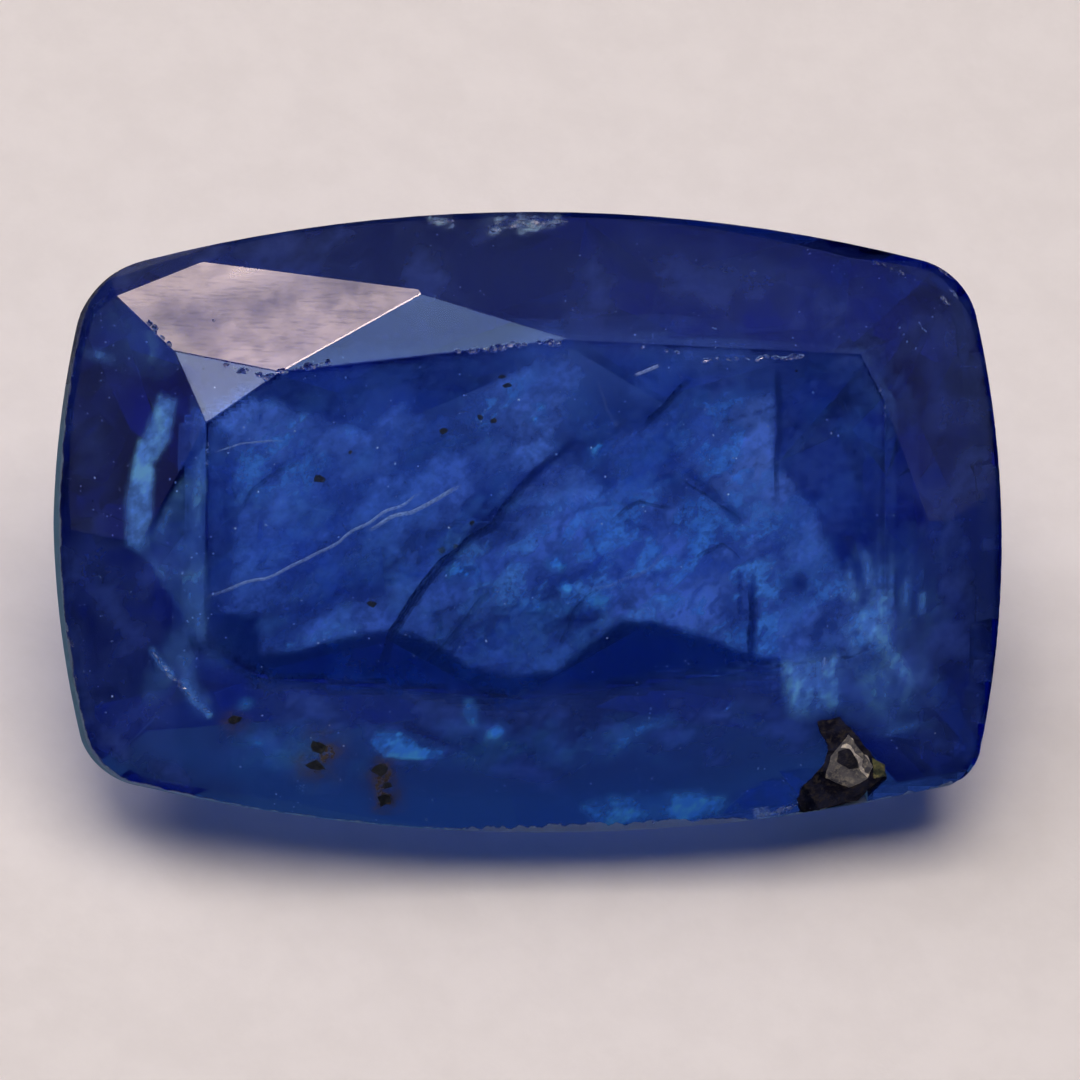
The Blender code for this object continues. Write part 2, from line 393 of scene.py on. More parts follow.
@dataclass(frozen=True)
class CrystalFinish:
    """Polished tanzanite: polishing lines, rubbed facet edges, rough chips and a frosted girdle."""

    cut: CuttingFrame
    ior: float = CRYSTAL_IOR
    absorbs: Colour = (0.05, 0.42, 0.84, 1.0)
    density: float = 520.0
    polish: float = 0.0
    dull_patches: float = 0.08
    band_middle: tuple[float, float] = (-3.80, 2.92)
    band_turn_deg: float = 12.0
    band_half: float = 0.27
    band_rough: float = 0.085
    dull_mirror: float = 0.262
    dull_mottle: float = 0.065
    dull_lower: float = 0.022
    dull_corner: tuple[float, float, float] = (-4.70, 2.26, 0.0)
    dull_corner_rough: float = 0.035
    dull_end: float = 0.04
    polishing_lines: float = 0.042
    rim_wide: float = 0.022
    rim_wide_left: float = 0.075
    rim_frost: float = 0.7
    back_of_rim: tuple[float, float] = (0.8, 2.6)
    frost_at_back: float = 0.3
    frost_rough: float = 0.45
    frost_tint: Colour = (0.16, 0.42, 0.60, 1)
    pitting_mm: float = 0.004

    def glass(self, b: Bench, rough: Any) -> bpy.types.Node:
        """Clear crystal with a roughness of its own."""
        feeds = {"Base Color": (1, 1, 1, 1), "Roughness": rough, "IOR": self.ior, "Transmission Weight": 1.0}
        return b.add("BsdfPrincipled", feeds)

    def brightest(self, b: Bench) -> bpy.types.Node:
        """The facet that mirrors the light: polishing lines, a dull band, a duller lower side and right end.

        Args:
            b: The bench of the crystal's material.

        Returns:
            The facet's shader.
        """
        turn = math.radians(self.band_turn_deg)
        x, y, _ = b.add("SeparateXYZ", {0: b.mm}).outputs
        mottle = b.noise(1.8, 5, 0.62)
        lines = b.span(b.noise(1.0, 2, 0.6, b.stretched((0.6, 30, 30), 4)), 0.50, 0.70)
        dx = b.maths("SUBTRACT", x, self.band_middle[0])
        dy = b.maths("ADD", b.maths("SUBTRACT", y, self.band_middle[1]), b.maths("MULTIPLY", mottle, 0.2))
        across = b.maths(
            "SUBTRACT", b.maths("MULTIPLY", dy, math.cos(turn)), b.maths("MULTIPLY", dx, math.sin(turn))
        )
        band = b.span(b.maths("ABSOLUTE", across), 0.1 * self.band_half, 1.6 * self.band_half, (self.band_rough, 0.0))
        lower = b.span(across, -0.35, 0.15, (self.dull_lower, 0.0))
        flat = b.add("CombineXYZ", {0: x, 1: y}).outputs[0]
        gap = b.add("VectorMath", {0: flat, 1: self.dull_corner}, operation="DISTANCE").outputs["Value"]
        corner = b.span(gap, 0.1, 0.62, (self.dull_corner_rough, 0.0))
        clouded = b.span(mottle, 0.38, 0.66, (self.dull_mirror, self.dull_mirror + self.dull_mottle))
        rough = b.maths("ADD", b.maths("MAXIMUM", band, lower), clouded)
        rough = b.maths("ADD", rough, b.maths("ADD", corner, b.span(x, -3.3, -1.5, (0.0, self.dull_end))))
        return self.glass(b, b.maths("ADD", rough, b.maths("MULTIPLY", lines, self.polishing_lines)))

    def rim(self, b: Bench) -> Any:
        """How far the crown is frosted next to the girdle, widest at the left end.

        Args:
            b: The bench of the crystal's material.

        Returns:
            The output that carries the share of frost.
        """
        x, y, z = b.add("SeparateXYZ", {0: b.mm}).outputs
        where = b.maths("ADD", x, b.maths("MULTIPLY", y, 0.35))
        wide = b.span(where, -6.0, -5.0, (self.rim_wide_left, self.rim_wide))
        ragged = b.maths("ADD", z, b.span(b.noise(5.0, 2, 0.6), 0.3, 0.7, (-0.02, 0.02)))
        share = b.span(b.maths("DIVIDE", ragged, wide), 0.5, 1.1, (1.0, 0.0))
        return b.maths("MULTIPLY", share, b.span(z, -0.62, -0.50))

    def plain(self, b: Bench) -> bpy.types.Node:
        """The other clean facets, with some dull patches."""
        duller = (self.polish, self.polish + self.dull_patches)
        return self.glass(b, b.span(b.noise(1.9, 2, 0.62), 0.48, 0.72, duller))

    def damaged(self, b: Bench, frost: Any, fresh: Any) -> bpy.types.Node:
        """The shader of the frosted girdle, the chips and the rubbed edges.

        Args:
            b: The bench of the crystal's material.
            frost: The share of frost.
            fresh: Where a chip has broken out.

        Returns:
            The shader.
        """
        fine = b.noise(16.0, 3, 0.6)
        rubbed = b.attribute("rubbed")
        rough = b.maths("ADD", b.maths("MULTIPLY", fresh, b.span(fine, 0.35, 0.65, (0.12, 0.4))), self.polish)
        rough = b.maths("ADD", rough, b.maths("MULTIPLY", rubbed, b.span(fine, 0.4, 0.6, (0.22, 0.4))))
        rough = b.maths("ADD", rough, b.maths("MULTIPLY", frost, self.frost_rough), True)
        clear = b.maths("SUBTRACT", 1.0, b.maths("MULTIPLY", frost, b.span(fine, 0.3, 0.7, (0.4, 0.7))))
        clear = b.maths("SUBTRACT", clear, b.maths("MULTIPLY", fresh, b.span(fine, 0.5, 0.7, (0.0, 0.15))))
        tint = b.blend(frost, (1, 1, 1, 1), self.frost_tint)
        bump = b.add("Bump", {"Height": fine, "Strength": 0.8, "Distance": self.pitting_mm * MM})
        return b.add(
            "BsdfPrincipled",
            {
                "Base Color": tint,
                "Roughness": rough,
                "IOR": self.ior,
                "Transmission Weight": clear,
                "Normal": bump.outputs[0],
            },
        )

    def build(self) -> bpy.types.Material:
        """Make the material.

        Returns:
            The new material.
        """
        b = Bench("tanzanite crystal", self.cut)
        frost, fresh, damage, bright = (b.attribute(name) for name in ("frost", "fresh", "damage", "brightest"))
        rim = self.rim(b)
        frost = b.maths("MAXIMUM", frost, b.maths("MULTIPLY", rim, self.rim_frost))
        _, y, _ = b.add("SeparateXYZ", {0: b.mm}).outputs
        frost = b.maths("MULTIPLY", frost, b.span(y, *self.back_of_rim, (1.0, self.frost_at_back)))
        damage = b.maths("MAXIMUM", damage, rim)
        clean = b.add("MixShader", {0: bright, 1: self.plain(b).outputs[0], 2: self.brightest(b).outputs[0]})
        worn = self.damaged(b, frost, fresh).outputs[0]
        both = b.add("MixShader", {0: damage, 1: clean.outputs[0], 2: worn})
        absorb = b.add("VolumeAbsorption", {"Color": self.absorbs, "Density": self.density})
        b.tree.links.new(absorb.outputs[0], b.output.inputs["Volume"])
        return b.finish(both.outputs[0])


@dataclass(frozen=True)
class VeilFinish:
    """A thin layer of tiny bubbles or flakes that lets part of the light through; several of these finishes paint
    glints, tone and shade.
    """

    cut: CuttingFrame
    name: str
    colour: Colour
    body: float = 1.0
    grain: float = 9.0
    evenness: float = 0.6
    through: float = 0.5
    paler: float = 1.55

    def build(self) -> bpy.types.Material:
        """Make the material.

        Returns:
            The new material, which reads the attributes thick and pale.
        """
        b = Bench(self.name, self.cut)
        grain = b.noise(self.grain, 2, 0.65)
        share = b.maths("MULTIPLY", b.attribute("thick"), b.span(grain, 0.34, 0.62, (self.evenness, 1.0)))
        share = b.maths("MULTIPLY", share, self.body, True)
        pale = tuple(min(1.0, c * self.paler) for c in self.colour[:3]) + (1.0,)
        colour = b.blend(b.attribute("pale"), self.colour, pale)
        back = b.add("BsdfDiffuse", {"Color": colour})
        front = b.add("BsdfTranslucent", {"Color": colour})
        milk = b.add("MixShader", {0: self.through, 1: back.outputs[0], 2: front.outputs[0]})
        mixed = b.add("MixShader", {0: share, 1: b.add("BsdfTransparent").outputs[0], 2: milk.outputs[0]})
        return b.finish(mixed.outputs[0])


@dataclass(frozen=True)
class RockFinish:
    """Dull host rock: grey and gold grain over near-black, with a slight metal glint."""

    cut: CuttingFrame
    name: str
    light: Colour
    dark: Colour
    gold: Colour
    metal: float = 0.35
    rough: float = 0.42
    gloss: float = 0.5
    relief_mm: float = 0.03

    def build(self) -> bpy.types.Material:
        """Make the material.

        Returns:
            The new material.
        """
        b = Bench(self.name, self.cut)
        blotch = b.span(b.noise(3.2, 4, 0.6), 0.40, 0.60)
        fleck = b.span(b.noise(14.0, 3, 0.7), 0.45, 0.70)
        colour = b.blend(blotch, self.dark, self.light)
        colour = b.blend(fleck, colour, self.gold)
        height = b.maths("ADD", b.noise(9.0, 4, 0.7), b.maths("MULTIPLY", b.noise(40.0, 2), 0.3))
        bump = b.add("Bump", {"Height": height, "Strength": 0.9, "Distance": self.relief_mm * MM})
        shader = b.add(
            "BsdfPrincipled",
            {
                "Base Color": colour,
                "Metallic": self.metal,
                "Specular IOR Level": self.gloss,
                "Roughness": b.span(fleck, 0.0, 1.0, (self.rough, self.rough + 0.25)),
                "Normal": bump.outputs[0],
            },
        )
        return b.finish(shader.outputs[0])


@dataclass(frozen=True)
class Chip:
    """A bite out of the surface: where it shows, its size in pixels, how it lies and how deep it goes."""

    pixel: Pixel
    long: float
    wide: float
    turn_deg: float = 0.0
    bite: float = 0.03


@dataclass(frozen=True)
class ChipRow:
    """Chips strung along an edge: how many, the range of their length in pixels, their shape and depth."""

    path: tuple[Pixel, ...]
    count: int
    sizes: tuple[float, float]
    slimness: float
    bite: float
    stray: float = 1.5
    twist_deg: float = 25.0

    def chips(self, rng: random.Random) -> list[Chip]:
        """Place the chips at uneven distances along the path.

        Args:
            rng: Gives the distances, sizes and turns.

        Returns:
            The chips, from the path's start to its end.
        """
        made = []
        for i in range(self.count):
            share = min(0.999, max(0.0, (i + rng.uniform(0.1, 0.9)) / self.count)) * (len(self.path) - 1)
            leg = int(share)
            one, other = Vector(self.path[leg]), Vector(self.path[leg + 1])
            stray = Vector((rng.uniform(-self.stray, self.stray), rng.uniform(-self.stray, self.stray)))
            spot = one.lerp(other, share - leg) + stray
            long = self.sizes[0] * (self.sizes[1] / self.sizes[0]) ** (rng.random() ** 1.5)
            wide = long * self.slimness * rng.uniform(0.7, 1.3)
            turn = -math.degrees(math.atan2(other.y - one.y, other.x - one.x))
            turn += rng.uniform(-self.twist_deg, self.twist_deg)
            made.append(Chip(tuple(spot), long, wide, turn, self.bite * rng.uniform(0.6, 1.2)))
        return made


@dataclass
class Stone:
    """The cut stone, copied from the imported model, with worn edges and chips."""

    cut: CuttingFrame
    sight: Sight
    finish: CrystalFinish
    edge_width: float = 0.009
    least_angle_deg: float = 5.0
    least_edge: float = 0.10
    shortest_edge: float = 0.025
    keep_off: float = 0.03
    small_face: float = 0.05
    tries: int = 8
    girdle_lean: float = 0.30
    brightest_facet: tuple[float, float] = (102.0, 29.0)
    same_facing: float = 0.9998
    flat_deg: float = 0.4
    smooth_deg: float = 6.5
    chip_lumps: float = 0.55
    chip_thick: float = 0.8
    seed: int = 11
    rows: tuple[ChipRow, ...] = (
        ChipRow(((222, 362), (262, 376), (300, 369), (332, 361)), 15, (5, 13), 0.7, 0.03),
        ChipRow(((146, 320), (170, 346)), 5, (5, 10), 0.7, 0.025),
        ChipRow(((456, 352), (505, 346), (560, 342)), 12, (6, 15), 0.6, 0.035),
        ChipRow(((704, 359), (760, 358), (802, 356)), 11, (5, 15), 0.45, 0.022),
        ChipRow(((488, 228), (524, 222), (562, 221)), 10, (9, 34), 0.45, 0.05),
        ChipRow(((428, 223), (452, 220)), 4, (8, 18), 0.5, 0.035),
        ChipRow(((940, 270), (962, 284)), 4, (8, 18), 0.6, 0.045),
        ChipRow(((884, 244), (916, 256)), 4, (5, 10), 0.6, 0.025),
        ChipRow(((152, 652), (174, 678), (210, 714)), 8, (6, 22), 0.35, 0.03),
        ChipRow(((756, 818), (790, 808)), 4, (10, 24), 0.4, 0.035),
        ChipRow(((58, 440), (62, 520)), 3, (5, 10), 0.6, 0.02),
        ChipRow(((66, 610), (76, 680)), 3, (5, 11), 0.6, 0.025),
        ChipRow(((640, 348), (690, 352)), 3, (4, 8), 0.5, 0.015),
        ChipRow(((878, 382), (887, 420)), 3, (4, 8), 0.5, 0.015),
        ChipRow(((210, 438), (205, 470)), 3, (4, 8), 0.5, 0.015),
        ChipRow(((208, 319), (214, 322)), 1, (8, 9), 0.9, 0.008),
    )

    def build(self) -> bpy.types.Object:
        """Make the worn stone.

        Returns:
            The object that stands for the CAD node.
        """
        bm = bmesh.new()
        bm.from_mesh(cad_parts["tanzanite"].data)
        bmesh.ops.remove_doubles(bm, verts=bm.verts, dist=SAME_POINT)
        bmesh.ops.dissolve_limit(bm, angle_limit=math.radians(self.flat_deg), verts=bm.verts, edges=bm.edges)
        bmesh.ops.remove_doubles(bm, verts=bm.verts, dist=self.shortest_edge * MM)
        worn = self.rub_edges(bm)
        bm.free()
        stone = finished("stone", mesh_of("stone", worn), self.finish.build())
        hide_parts("tanzanite")
        for _ in range(len(Wear) - 1):
            stone.data.materials.append(stone.data.materials[0])
        self.break_chips(stone)
        self.mark_faces(stone.data)
        return stone

    def rub_edges(self, bm: bmesh.types.BMesh) -> bmesh.types.BMesh:
        """Give the facet edges a narrow rubbed strip, leaving sharp those whose strips would run together.

        Args:
            bm: The clean cut stone.

        Returns:
            A copy with the strips.
        """
        bm.normal_update()
        bm.edges.ensure_lookup_table()
        least = math.radians(self.least_angle_deg)
        chosen = {
            e.index
            for e in bm.edges
            if e.calc_length() > self.least_edge * MM and e.is_manifold and e.calc_face_angle() > least
        }
        worn = bm.copy()
        for _ in range(self.tries):
            worn.free()
            worn = bm.copy()
            worn.edges.ensure_lookup_table()
            bmesh.ops.bevel(
                worn,
                geom=[worn.edges[i] for i in sorted(chosen)],
                offset=self.edge_width * MM,
                offset_type="OFFSET",
                affect="EDGES",
                segments=1,
                profile=0.5,
                material=Wear.RUBBED.value,
                clamp_overlap=False,
            )
            clashes = self.clashes(worn)
            if not clashes:
                break
            near = [i for i in chosen if any(self.gap(bm.edges[i], spot) < self.keep_off * MM for spot in clashes)]
            chosen -= set(near)
        return worn

    def clashes(self, bm: bmesh.types.BMesh) -> list[Vector]:
        """Where the faces of a mesh run through each other.

        Args:
            bm: The stone with its rubbed strips.

        Returns:
            The middles of the small faces that cut another face.
        """
        flat = bm.copy()
        bmesh.ops.triangulate(flat, faces=flat.faces[:])
        flat.faces.ensure_lookup_table()
        tree = BVHTree.FromBMesh(flat)
        spots = []
        for i, j in tree.overlap(tree):
            one, other = flat.faces[i], flat.faces[j]
            if i < j and not set(one.verts) & set(other.verts):
                spots += [f.calc_center_median() for f in (one, other) if f.calc_area() < self.small_face * MM * MM]
        flat.free()
        return spots

    def gap(self, edge: bmesh.types.BMEdge, spot: Vector) -> float:
        """How far a point is from an edge.

        Args:
            edge: An edge of the clean stone.
            spot: The point.

        Returns:
            The distance in metres.
        """
        one, other = (v.co for v in edge.verts)
        along = other - one
        share = max(0.0, min(1.0, (spot - one).dot(along) / along.length_squared))
        return (one + along * share - spot).length

    def break_chips(self, stone: bpy.types.Object) -> None:
        """Cut the chips out of the stone one after another.

        Args:
            stone: The stone, whose mesh is replaced.
        """
        rng = random.Random(self.seed)
        for chip in [chip for row in self.rows for chip in row.chips(rng)]:
            bm = bmesh.new()
            bmesh.ops.create_icosphere(bm, subdivisions=2, radius=1.0)
            offset = Vector((rng.random(), rng.random(), rng.random())) * 9
            for v in bm.verts:
                v.co *= 1 + self.chip_lumps * noise.noise(v.co * 1.4 + offset)
            bmesh.ops.transform(bm, verts=bm.verts, matrix=self.chip_place(chip))
            for f in bm.faces:
                f.material_index = Wear.CHIPPED.value
            cutter = bpy.data.objects.new("chip_cutter", mesh_of("chip_cutter", bm))
            bpy.context.scene.collection.objects.link(cutter)
            for _ in Wear:
                cutter.data.materials.append(stone.data.materials[0])
            cut = stone.modifiers.new("chip", "BOOLEAN")
            cut.operation = "DIFFERENCE"
            cut.solver = "EXACT"
            cut.object = cutter
            graph = bpy.context.evaluated_depsgraph_get()
            worn = bpy.data.meshes.new_from_object(stone.evaluated_get(graph))
            stone.modifiers.clear()
            stone.data = worn
            bpy.data.objects.remove(cutter)

    def chip_place(self, chip: Chip) -> Matrix:
        """Where a unit ball goes to bite one chip out of the surface.

        Args:
            chip: The chip.

        Returns:
            The matrix that sizes, turns and moves the ball.
        """
        point, normal = self.sight.surface(chip.pixel)
        right, up, _ = self.sight.camera.axes
        turn = math.radians(chip.turn_deg)
        along = right * math.cos(turn) + up * math.sin(turn)
        along = (along - normal * along.dot(normal)).normalized()
        across = normal.cross(along)
        thick = chip.wide / 2 / PIXELS_PER_MM * self.chip_thick
        place = Matrix((along, across, normal)).transposed().to_4x4()
        place.translation = point + normal * (thick - chip.bite) * MM
        sizes = (chip.long / 2 / PIXELS_PER_MM, chip.wide / 2 / PIXELS_PER_MM, thick)
        return place @ Matrix.Diagonal((*(s * MM for s in sizes), 1.0))

    def mark_faces(self, mesh: bpy.types.Mesh) -> None:
        """Write what each face is where the finish can read it, and set the shading.

        Args:
            mesh: The finished mesh of the stone, which keeps one material.
        """
        table = self.cut.turn @ Vector((0, 0, 1))
        brightest = self.cut.facing(*self.brightest_facet)
        names = ("frost", "fresh", "rubbed", "damage", "brightest")
        for name in names:
            mesh.attributes.new(name, "FLOAT", "FACE")
        marks = {name: mesh.attributes[name] for name in names}
        for face in mesh.polygons:
            on_girdle = abs(face.normal.dot(table)) < self.girdle_lean
            kind = Wear(face.material_index)
            marks["frost"].data[face.index].value = float(on_girdle and kind is not Wear.CHIPPED)
            marks["fresh"].data[face.index].value = float(kind is Wear.CHIPPED)
            marks["rubbed"].data[face.index].value = float(kind is Wear.RUBBED and not on_girdle)
            marks["brightest"].data[face.index].value = float(face.normal.dot(brightest) > self.same_facing)
            marks["damage"].data[face.index].value = float(on_girdle or kind is not Wear.POLISHED)
        mesh.shade_smooth()
        mesh.set_sharp_from_angle(angle=math.radians(self.smooth_deg))
        for face in mesh.polygons:
            if Wear(face.material_index) is Wear.POLISHED:
                for corner in face.loop_indices:
                    mesh.edges[mesh.loops[corner].edge_index].use_edge_sharp = True
            face.material_index = 0
        while len(mesh.materials) > 1:
            mesh.materials.pop()


def smooth(share: float) -> float:
    """A share clamped to 0..1 and eased at both ends."""
    t = max(0.0, min(1.0, share))
    return t * t * (3 - 2 * t)


def away(one: Vector, other: Vector, here: Vector) -> float:
    """How far a point is from the straight line between two others.

    Args:
        one: One end of the line.
        other: Its other end.
        here: The point.

    Returns:
        The distance.
    """
    along = other - one
    share = max(0.0, min(1.0, (here - one).dot(along) / along.length_squared))
    return (one + along * share - here).length


def outside(outline: Sequence[Pixel], pixel: Pixel, margin: float) -> bool:
    """Whether a pixel lies outside the box round an outline by more than a margin.

    Args:
        outline: The corners of the outline.
        pixel: The place in the photograph.
        margin: The margin in pixels.

    Returns:
        True where the pixel is outside.
    """
    x, y = pixel
    return (
        x < min(p[0] for p in outline) - margin
        or x > max(p[0] for p in outline) + margin
        or y < min(p[1] for p in outline) - margin
        or y > max(p[1] for p in outline) + margin
    )


@dataclass(frozen=True)
class Blob:
    """A soft patch in the photograph: its middle, its half sizes, how strong it is and how it is turned."""

    pixel: Pixel
    half_long: float
    half_wide: float
    strength: float
    turn_deg: float = 0.0

    def at(self, pixel: Pixel) -> float:
        """The patch's strength at a pixel.

        Args:
            pixel: The place in the photograph.

        Returns:
            The strength, which falls off smoothly from the middle.
        """
        turn = math.radians(self.turn_deg)
        dx, dy = pixel[0] - self.pixel[0], self.pixel[1] - pixel[1]
        along = (dx * math.cos(turn) + dy * math.sin(turn)) / self.half_long
        across = (dy * math.cos(turn) - dx * math.sin(turn)) / self.half_wide
        return self.strength * math.exp(-(along * along + across * across))


@dataclass(frozen=True)
class Patch:
    """A straight-sided region of the photograph with a soft edge."""

    outline: tuple[Pixel, ...]
    strength: float
    soft: float = 6.0

    def at(self, pixel: Pixel) -> float:
        """The region's strength at a pixel, which falls to nothing just outside its outline.

        Args:
            pixel: The place in the photograph.

        Returns:
            The strength.
        """
        if outside(self.outline, pixel, self.soft):
            return 0.0
        here = Vector(pixel)
        inside, gap = False, math.inf
        for one, other in zip(self.outline, self.outline[1:] + self.outline[:1]):
            a, b = Vector(one), Vector(other)
            gap = min(gap, away(a, b, here))
            if (a.y > here.y) != (b.y > here.y) and here.x < a.x + (b.x - a.x) * (here.y - a.y) / (b.y - a.y):
                inside = not inside
        return self.strength * smooth(0.5 + (gap if inside else -gap) / (2 * self.soft))


@dataclass(frozen=True)
class Stroke:
    """A soft line of the photograph."""

    path: tuple[Pixel, ...]
    half_wide: float
    strength: float

    def at(self, pixel: Pixel) -> float:
        """The line's strength at a pixel.

        Args:
            pixel: The place in the photograph.

        Returns:
            The strength, which falls off smoothly from the line.
        """
        if outside(self.path, pixel, 3 * self.half_wide):
            return 0.0
        here = Vector(pixel)
        gap = min(away(Vector(a), Vector(b), here) for a, b in zip(self.path, self.path[1:]))
        return self.strength * math.exp(-((gap / self.half_wide) ** 2))


@dataclass(frozen=True)
class Mottle:
    """How the inclusions of a veil clump: waves per mm, their flow, and the thin clear veins between them."""

    scale: float = 1.0
    gaps: float = 0.3
    contrast: float = 0.3
    flow: float = 1.0
    flow_deg: float = 0.0
    veins: float = 0.0
    vein_half: float = 0.03

    def at(self, pixel: Pixel, seed: float) -> tuple[float, float]:
        """How thick the inclusions lie at a pixel, and how pale they are there.

        Args:
            pixel: The place in the photograph.
            seed: Shifts the pattern.

        Returns:
            Two shares from 0 to 1.
        """
        turn = math.radians(self.flow_deg)
        x, y = pixel[0] / PIXELS_PER_MM, -pixel[1] / PIXELS_PER_MM
        along = (x * math.cos(turn) + y * math.sin(turn)) / self.flow
        across = (y * math.cos(turn) - x * math.sin(turn)) * self.flow
        place = Vector((along * self.scale, across * self.scale, seed))
        wave = noise.fractal(place, 0.55, 2.1, 6)
        thick = self.gaps + (1 - self.gaps) * smooth(0.5 + wave / (2 * self.contrast))
        pale = smooth((wave + 0.6 * noise.fractal(place * 2.3, 0.6, 2.1, 4)) / 0.7)
        if self.veins:
            ridge = abs(noise.fractal(Vector((along, across, seed + 9)) * self.veins, 0.8, 2.0, 3))
            thick *= 0.3 + 0.7 * smooth(ridge / self.vein_half)
        return thick, pale


@dataclass
class Veil:
    """A wavy sheet that fills part of the stone as the photograph shows it: tiny inclusions, in some sheets painted
    light and shade.
    """

    name: str
    low: Pixel
    high: Pixel
    depth: float
    light: tuple[Blob | Patch | Stroke, ...]
    dark: tuple[Blob | Patch | Stroke, ...] = ()
    mottle: Mottle = Mottle()
    ripple: float = 0.25
    wave: float = 1.0
    step: float = 9.0
    seed: float = 0.0
    dip: tuple[float, float] = (0.0, 0.0)
    shallowest: float = 0.05
    thinnest: float = 0.03

    def density(self, pixel: Pixel) -> float:
        """How thick the inclusions lie at a pixel, from 0 to 1.

        Args:
            pixel: The place in the photograph.

        Returns:
            The share that the light parts add, less what the dark parts take away.
        """
        there = min(1.0, sum(part.at(pixel) for part in self.light))
        for part in self.dark:
            there *= 1 - min(1.0, part.at(pixel))
        return there

    def build(self, sight: Sight, material: bpy.types.Material) -> bpy.types.Object:
        """Make the sheet.

        Args:
            sight: Finds places in the stone.
            material: The veil's finish.

        Returns:
            The new piece.
        """
        wide, tall = self.high[0] - self.low[0], self.high[1] - self.low[1]
        bm = bmesh.new()
        bm.verts.layers.float.new("thick")
        paleness = bm.verts.layers.float.new("pale")
        thickness = bm.verts.layers.float["thick"]
        bmesh.ops.create_grid(
            bm, x_segments=max(2, round(wide / self.step)), y_segments=max(2, round(tall / self.step)), size=1.0
        )
        for v in bm.verts:
            u, w = (v.co.x + 1) / 2, (1 - v.co.y) / 2
            pixel = (self.low[0] + u * wide, self.low[1] + w * tall)
            clumps, pale = self.mottle.at(pixel, self.seed)
            v[thickness] = self.density(pixel) * clumps
            v[paleness] = pale
            bend = noise.noise(Vector((u * wide, w * tall, self.seed * 50)) / (100 * self.wave))
            depth = self.depth + self.dip[0] * (u - 0.5) + self.dip[1] * (w - 0.5) + self.ripple * bend
            v.co = sight.inside(pixel, max(self.shallowest, depth))
        empty = [f for f in bm.faces if max(v[thickness] for v in f.verts) < self.thinnest]
        bmesh.ops.delete(bm, geom=empty, context="FACES")
        mesh = mesh_of(self.name, bm)
        mesh.shade_smooth()
        return finished(self.name, mesh, material)


@dataclass
class Ribbon:
    """A crack or feather that stands almost edge-on to the viewer, so that it shows as a line."""

    name: str
    path: tuple[tuple[float, float, float], ...]
    reach: float
    spread: Pixel
    strength: float = 1.0
    wander: float = 4.0
    steps: int = 14
    rows: int = 5
    seed: float = 0.0
    wave: float = 28.0
    taper: float = 6.0
    fade: float = 0.6

    def line(self) -> list[tuple[Pixel, float, float]]:
        """Points along the path, with some wander added.

        Returns:
            The pixel, the depth and the share of the way of each point.
        """
        points = []
        legs = len(self.path) - 1
        for i in range(legs * self.steps + 1):
            leg = min(i // self.steps, legs - 1)
            part = i / self.steps - leg
            a, b = self.path[leg], self.path[leg + 1]
            x, y, depth = (a[k] + (b[k] - a[k]) * part for k in range(3))
            here = Vector((x / self.wave, y / self.wave, self.seed * 7))
            x += self.wander * noise.noise(here)
            y += self.wander * noise.noise(here + Vector((31, 0, 0)))
            points.append(((x, y), depth, i / (legs * self.steps)))
        return points

    def thickness(self, share: float) -> float:
        """How thick the inclusions lie at a share of the way, less towards both ends."""
        return self.strength * min(1.0, self.taper * share, self.taper * (1 - share))

    def build(self, sight: Sight, material: bpy.types.Material, slot: Slot) -> bpy.types.Object:
        """Make the ribbon.

        Args:
            sight: Finds places in the stone.
            material: Its finish.
            slot: The slot that the finish belongs to; not used.

        Returns:
            The new piece.
        """
        bm = bmesh.new()
        layer = bm.verts.layers.float.new("thick")
        line = self.line()
        for pixel, depth, _ in line:
            bm.verts.new(sight.inside(pixel, depth))
        bm.verts.ensure_lookup_table()
        chain = [bm.edges.new((bm.verts[i], bm.verts[i + 1])) for i in range(len(line) - 1)]
        for v, (_, _, share) in zip(bm.verts, line):
            v[layer] = self.thickness(share)
        for row in range(1, self.rows):
            part = row / (self.rows - 1)
            made = bmesh.ops.extrude_edge_only(bm, edges=chain)["geom"]
            chain = [g for g in made if isinstance(g, bmesh.types.BMEdge) and len(g.link_faces) == 1]
            chain = [e for e in chain if all(len(v.link_faces) <= 2 for v in e.verts)]
            fresh = [g for g in made if isinstance(g, bmesh.types.BMVert)]
            for v, (pixel, depth, share) in zip(fresh, line):
                here = (pixel[0] + self.spread[0] * part, pixel[1] + self.spread[1] * part)
                v.co = sight.inside(here, depth + self.reach * part)
                v[layer] = self.thickness(share) * (1 - self.fade * part)
            chain = [e for e in chain if all(v in fresh for v in e.verts)]
        mesh = mesh_of(self.name, bm)
        mesh.shade_smooth()
        return finished(self.name, mesh, material)


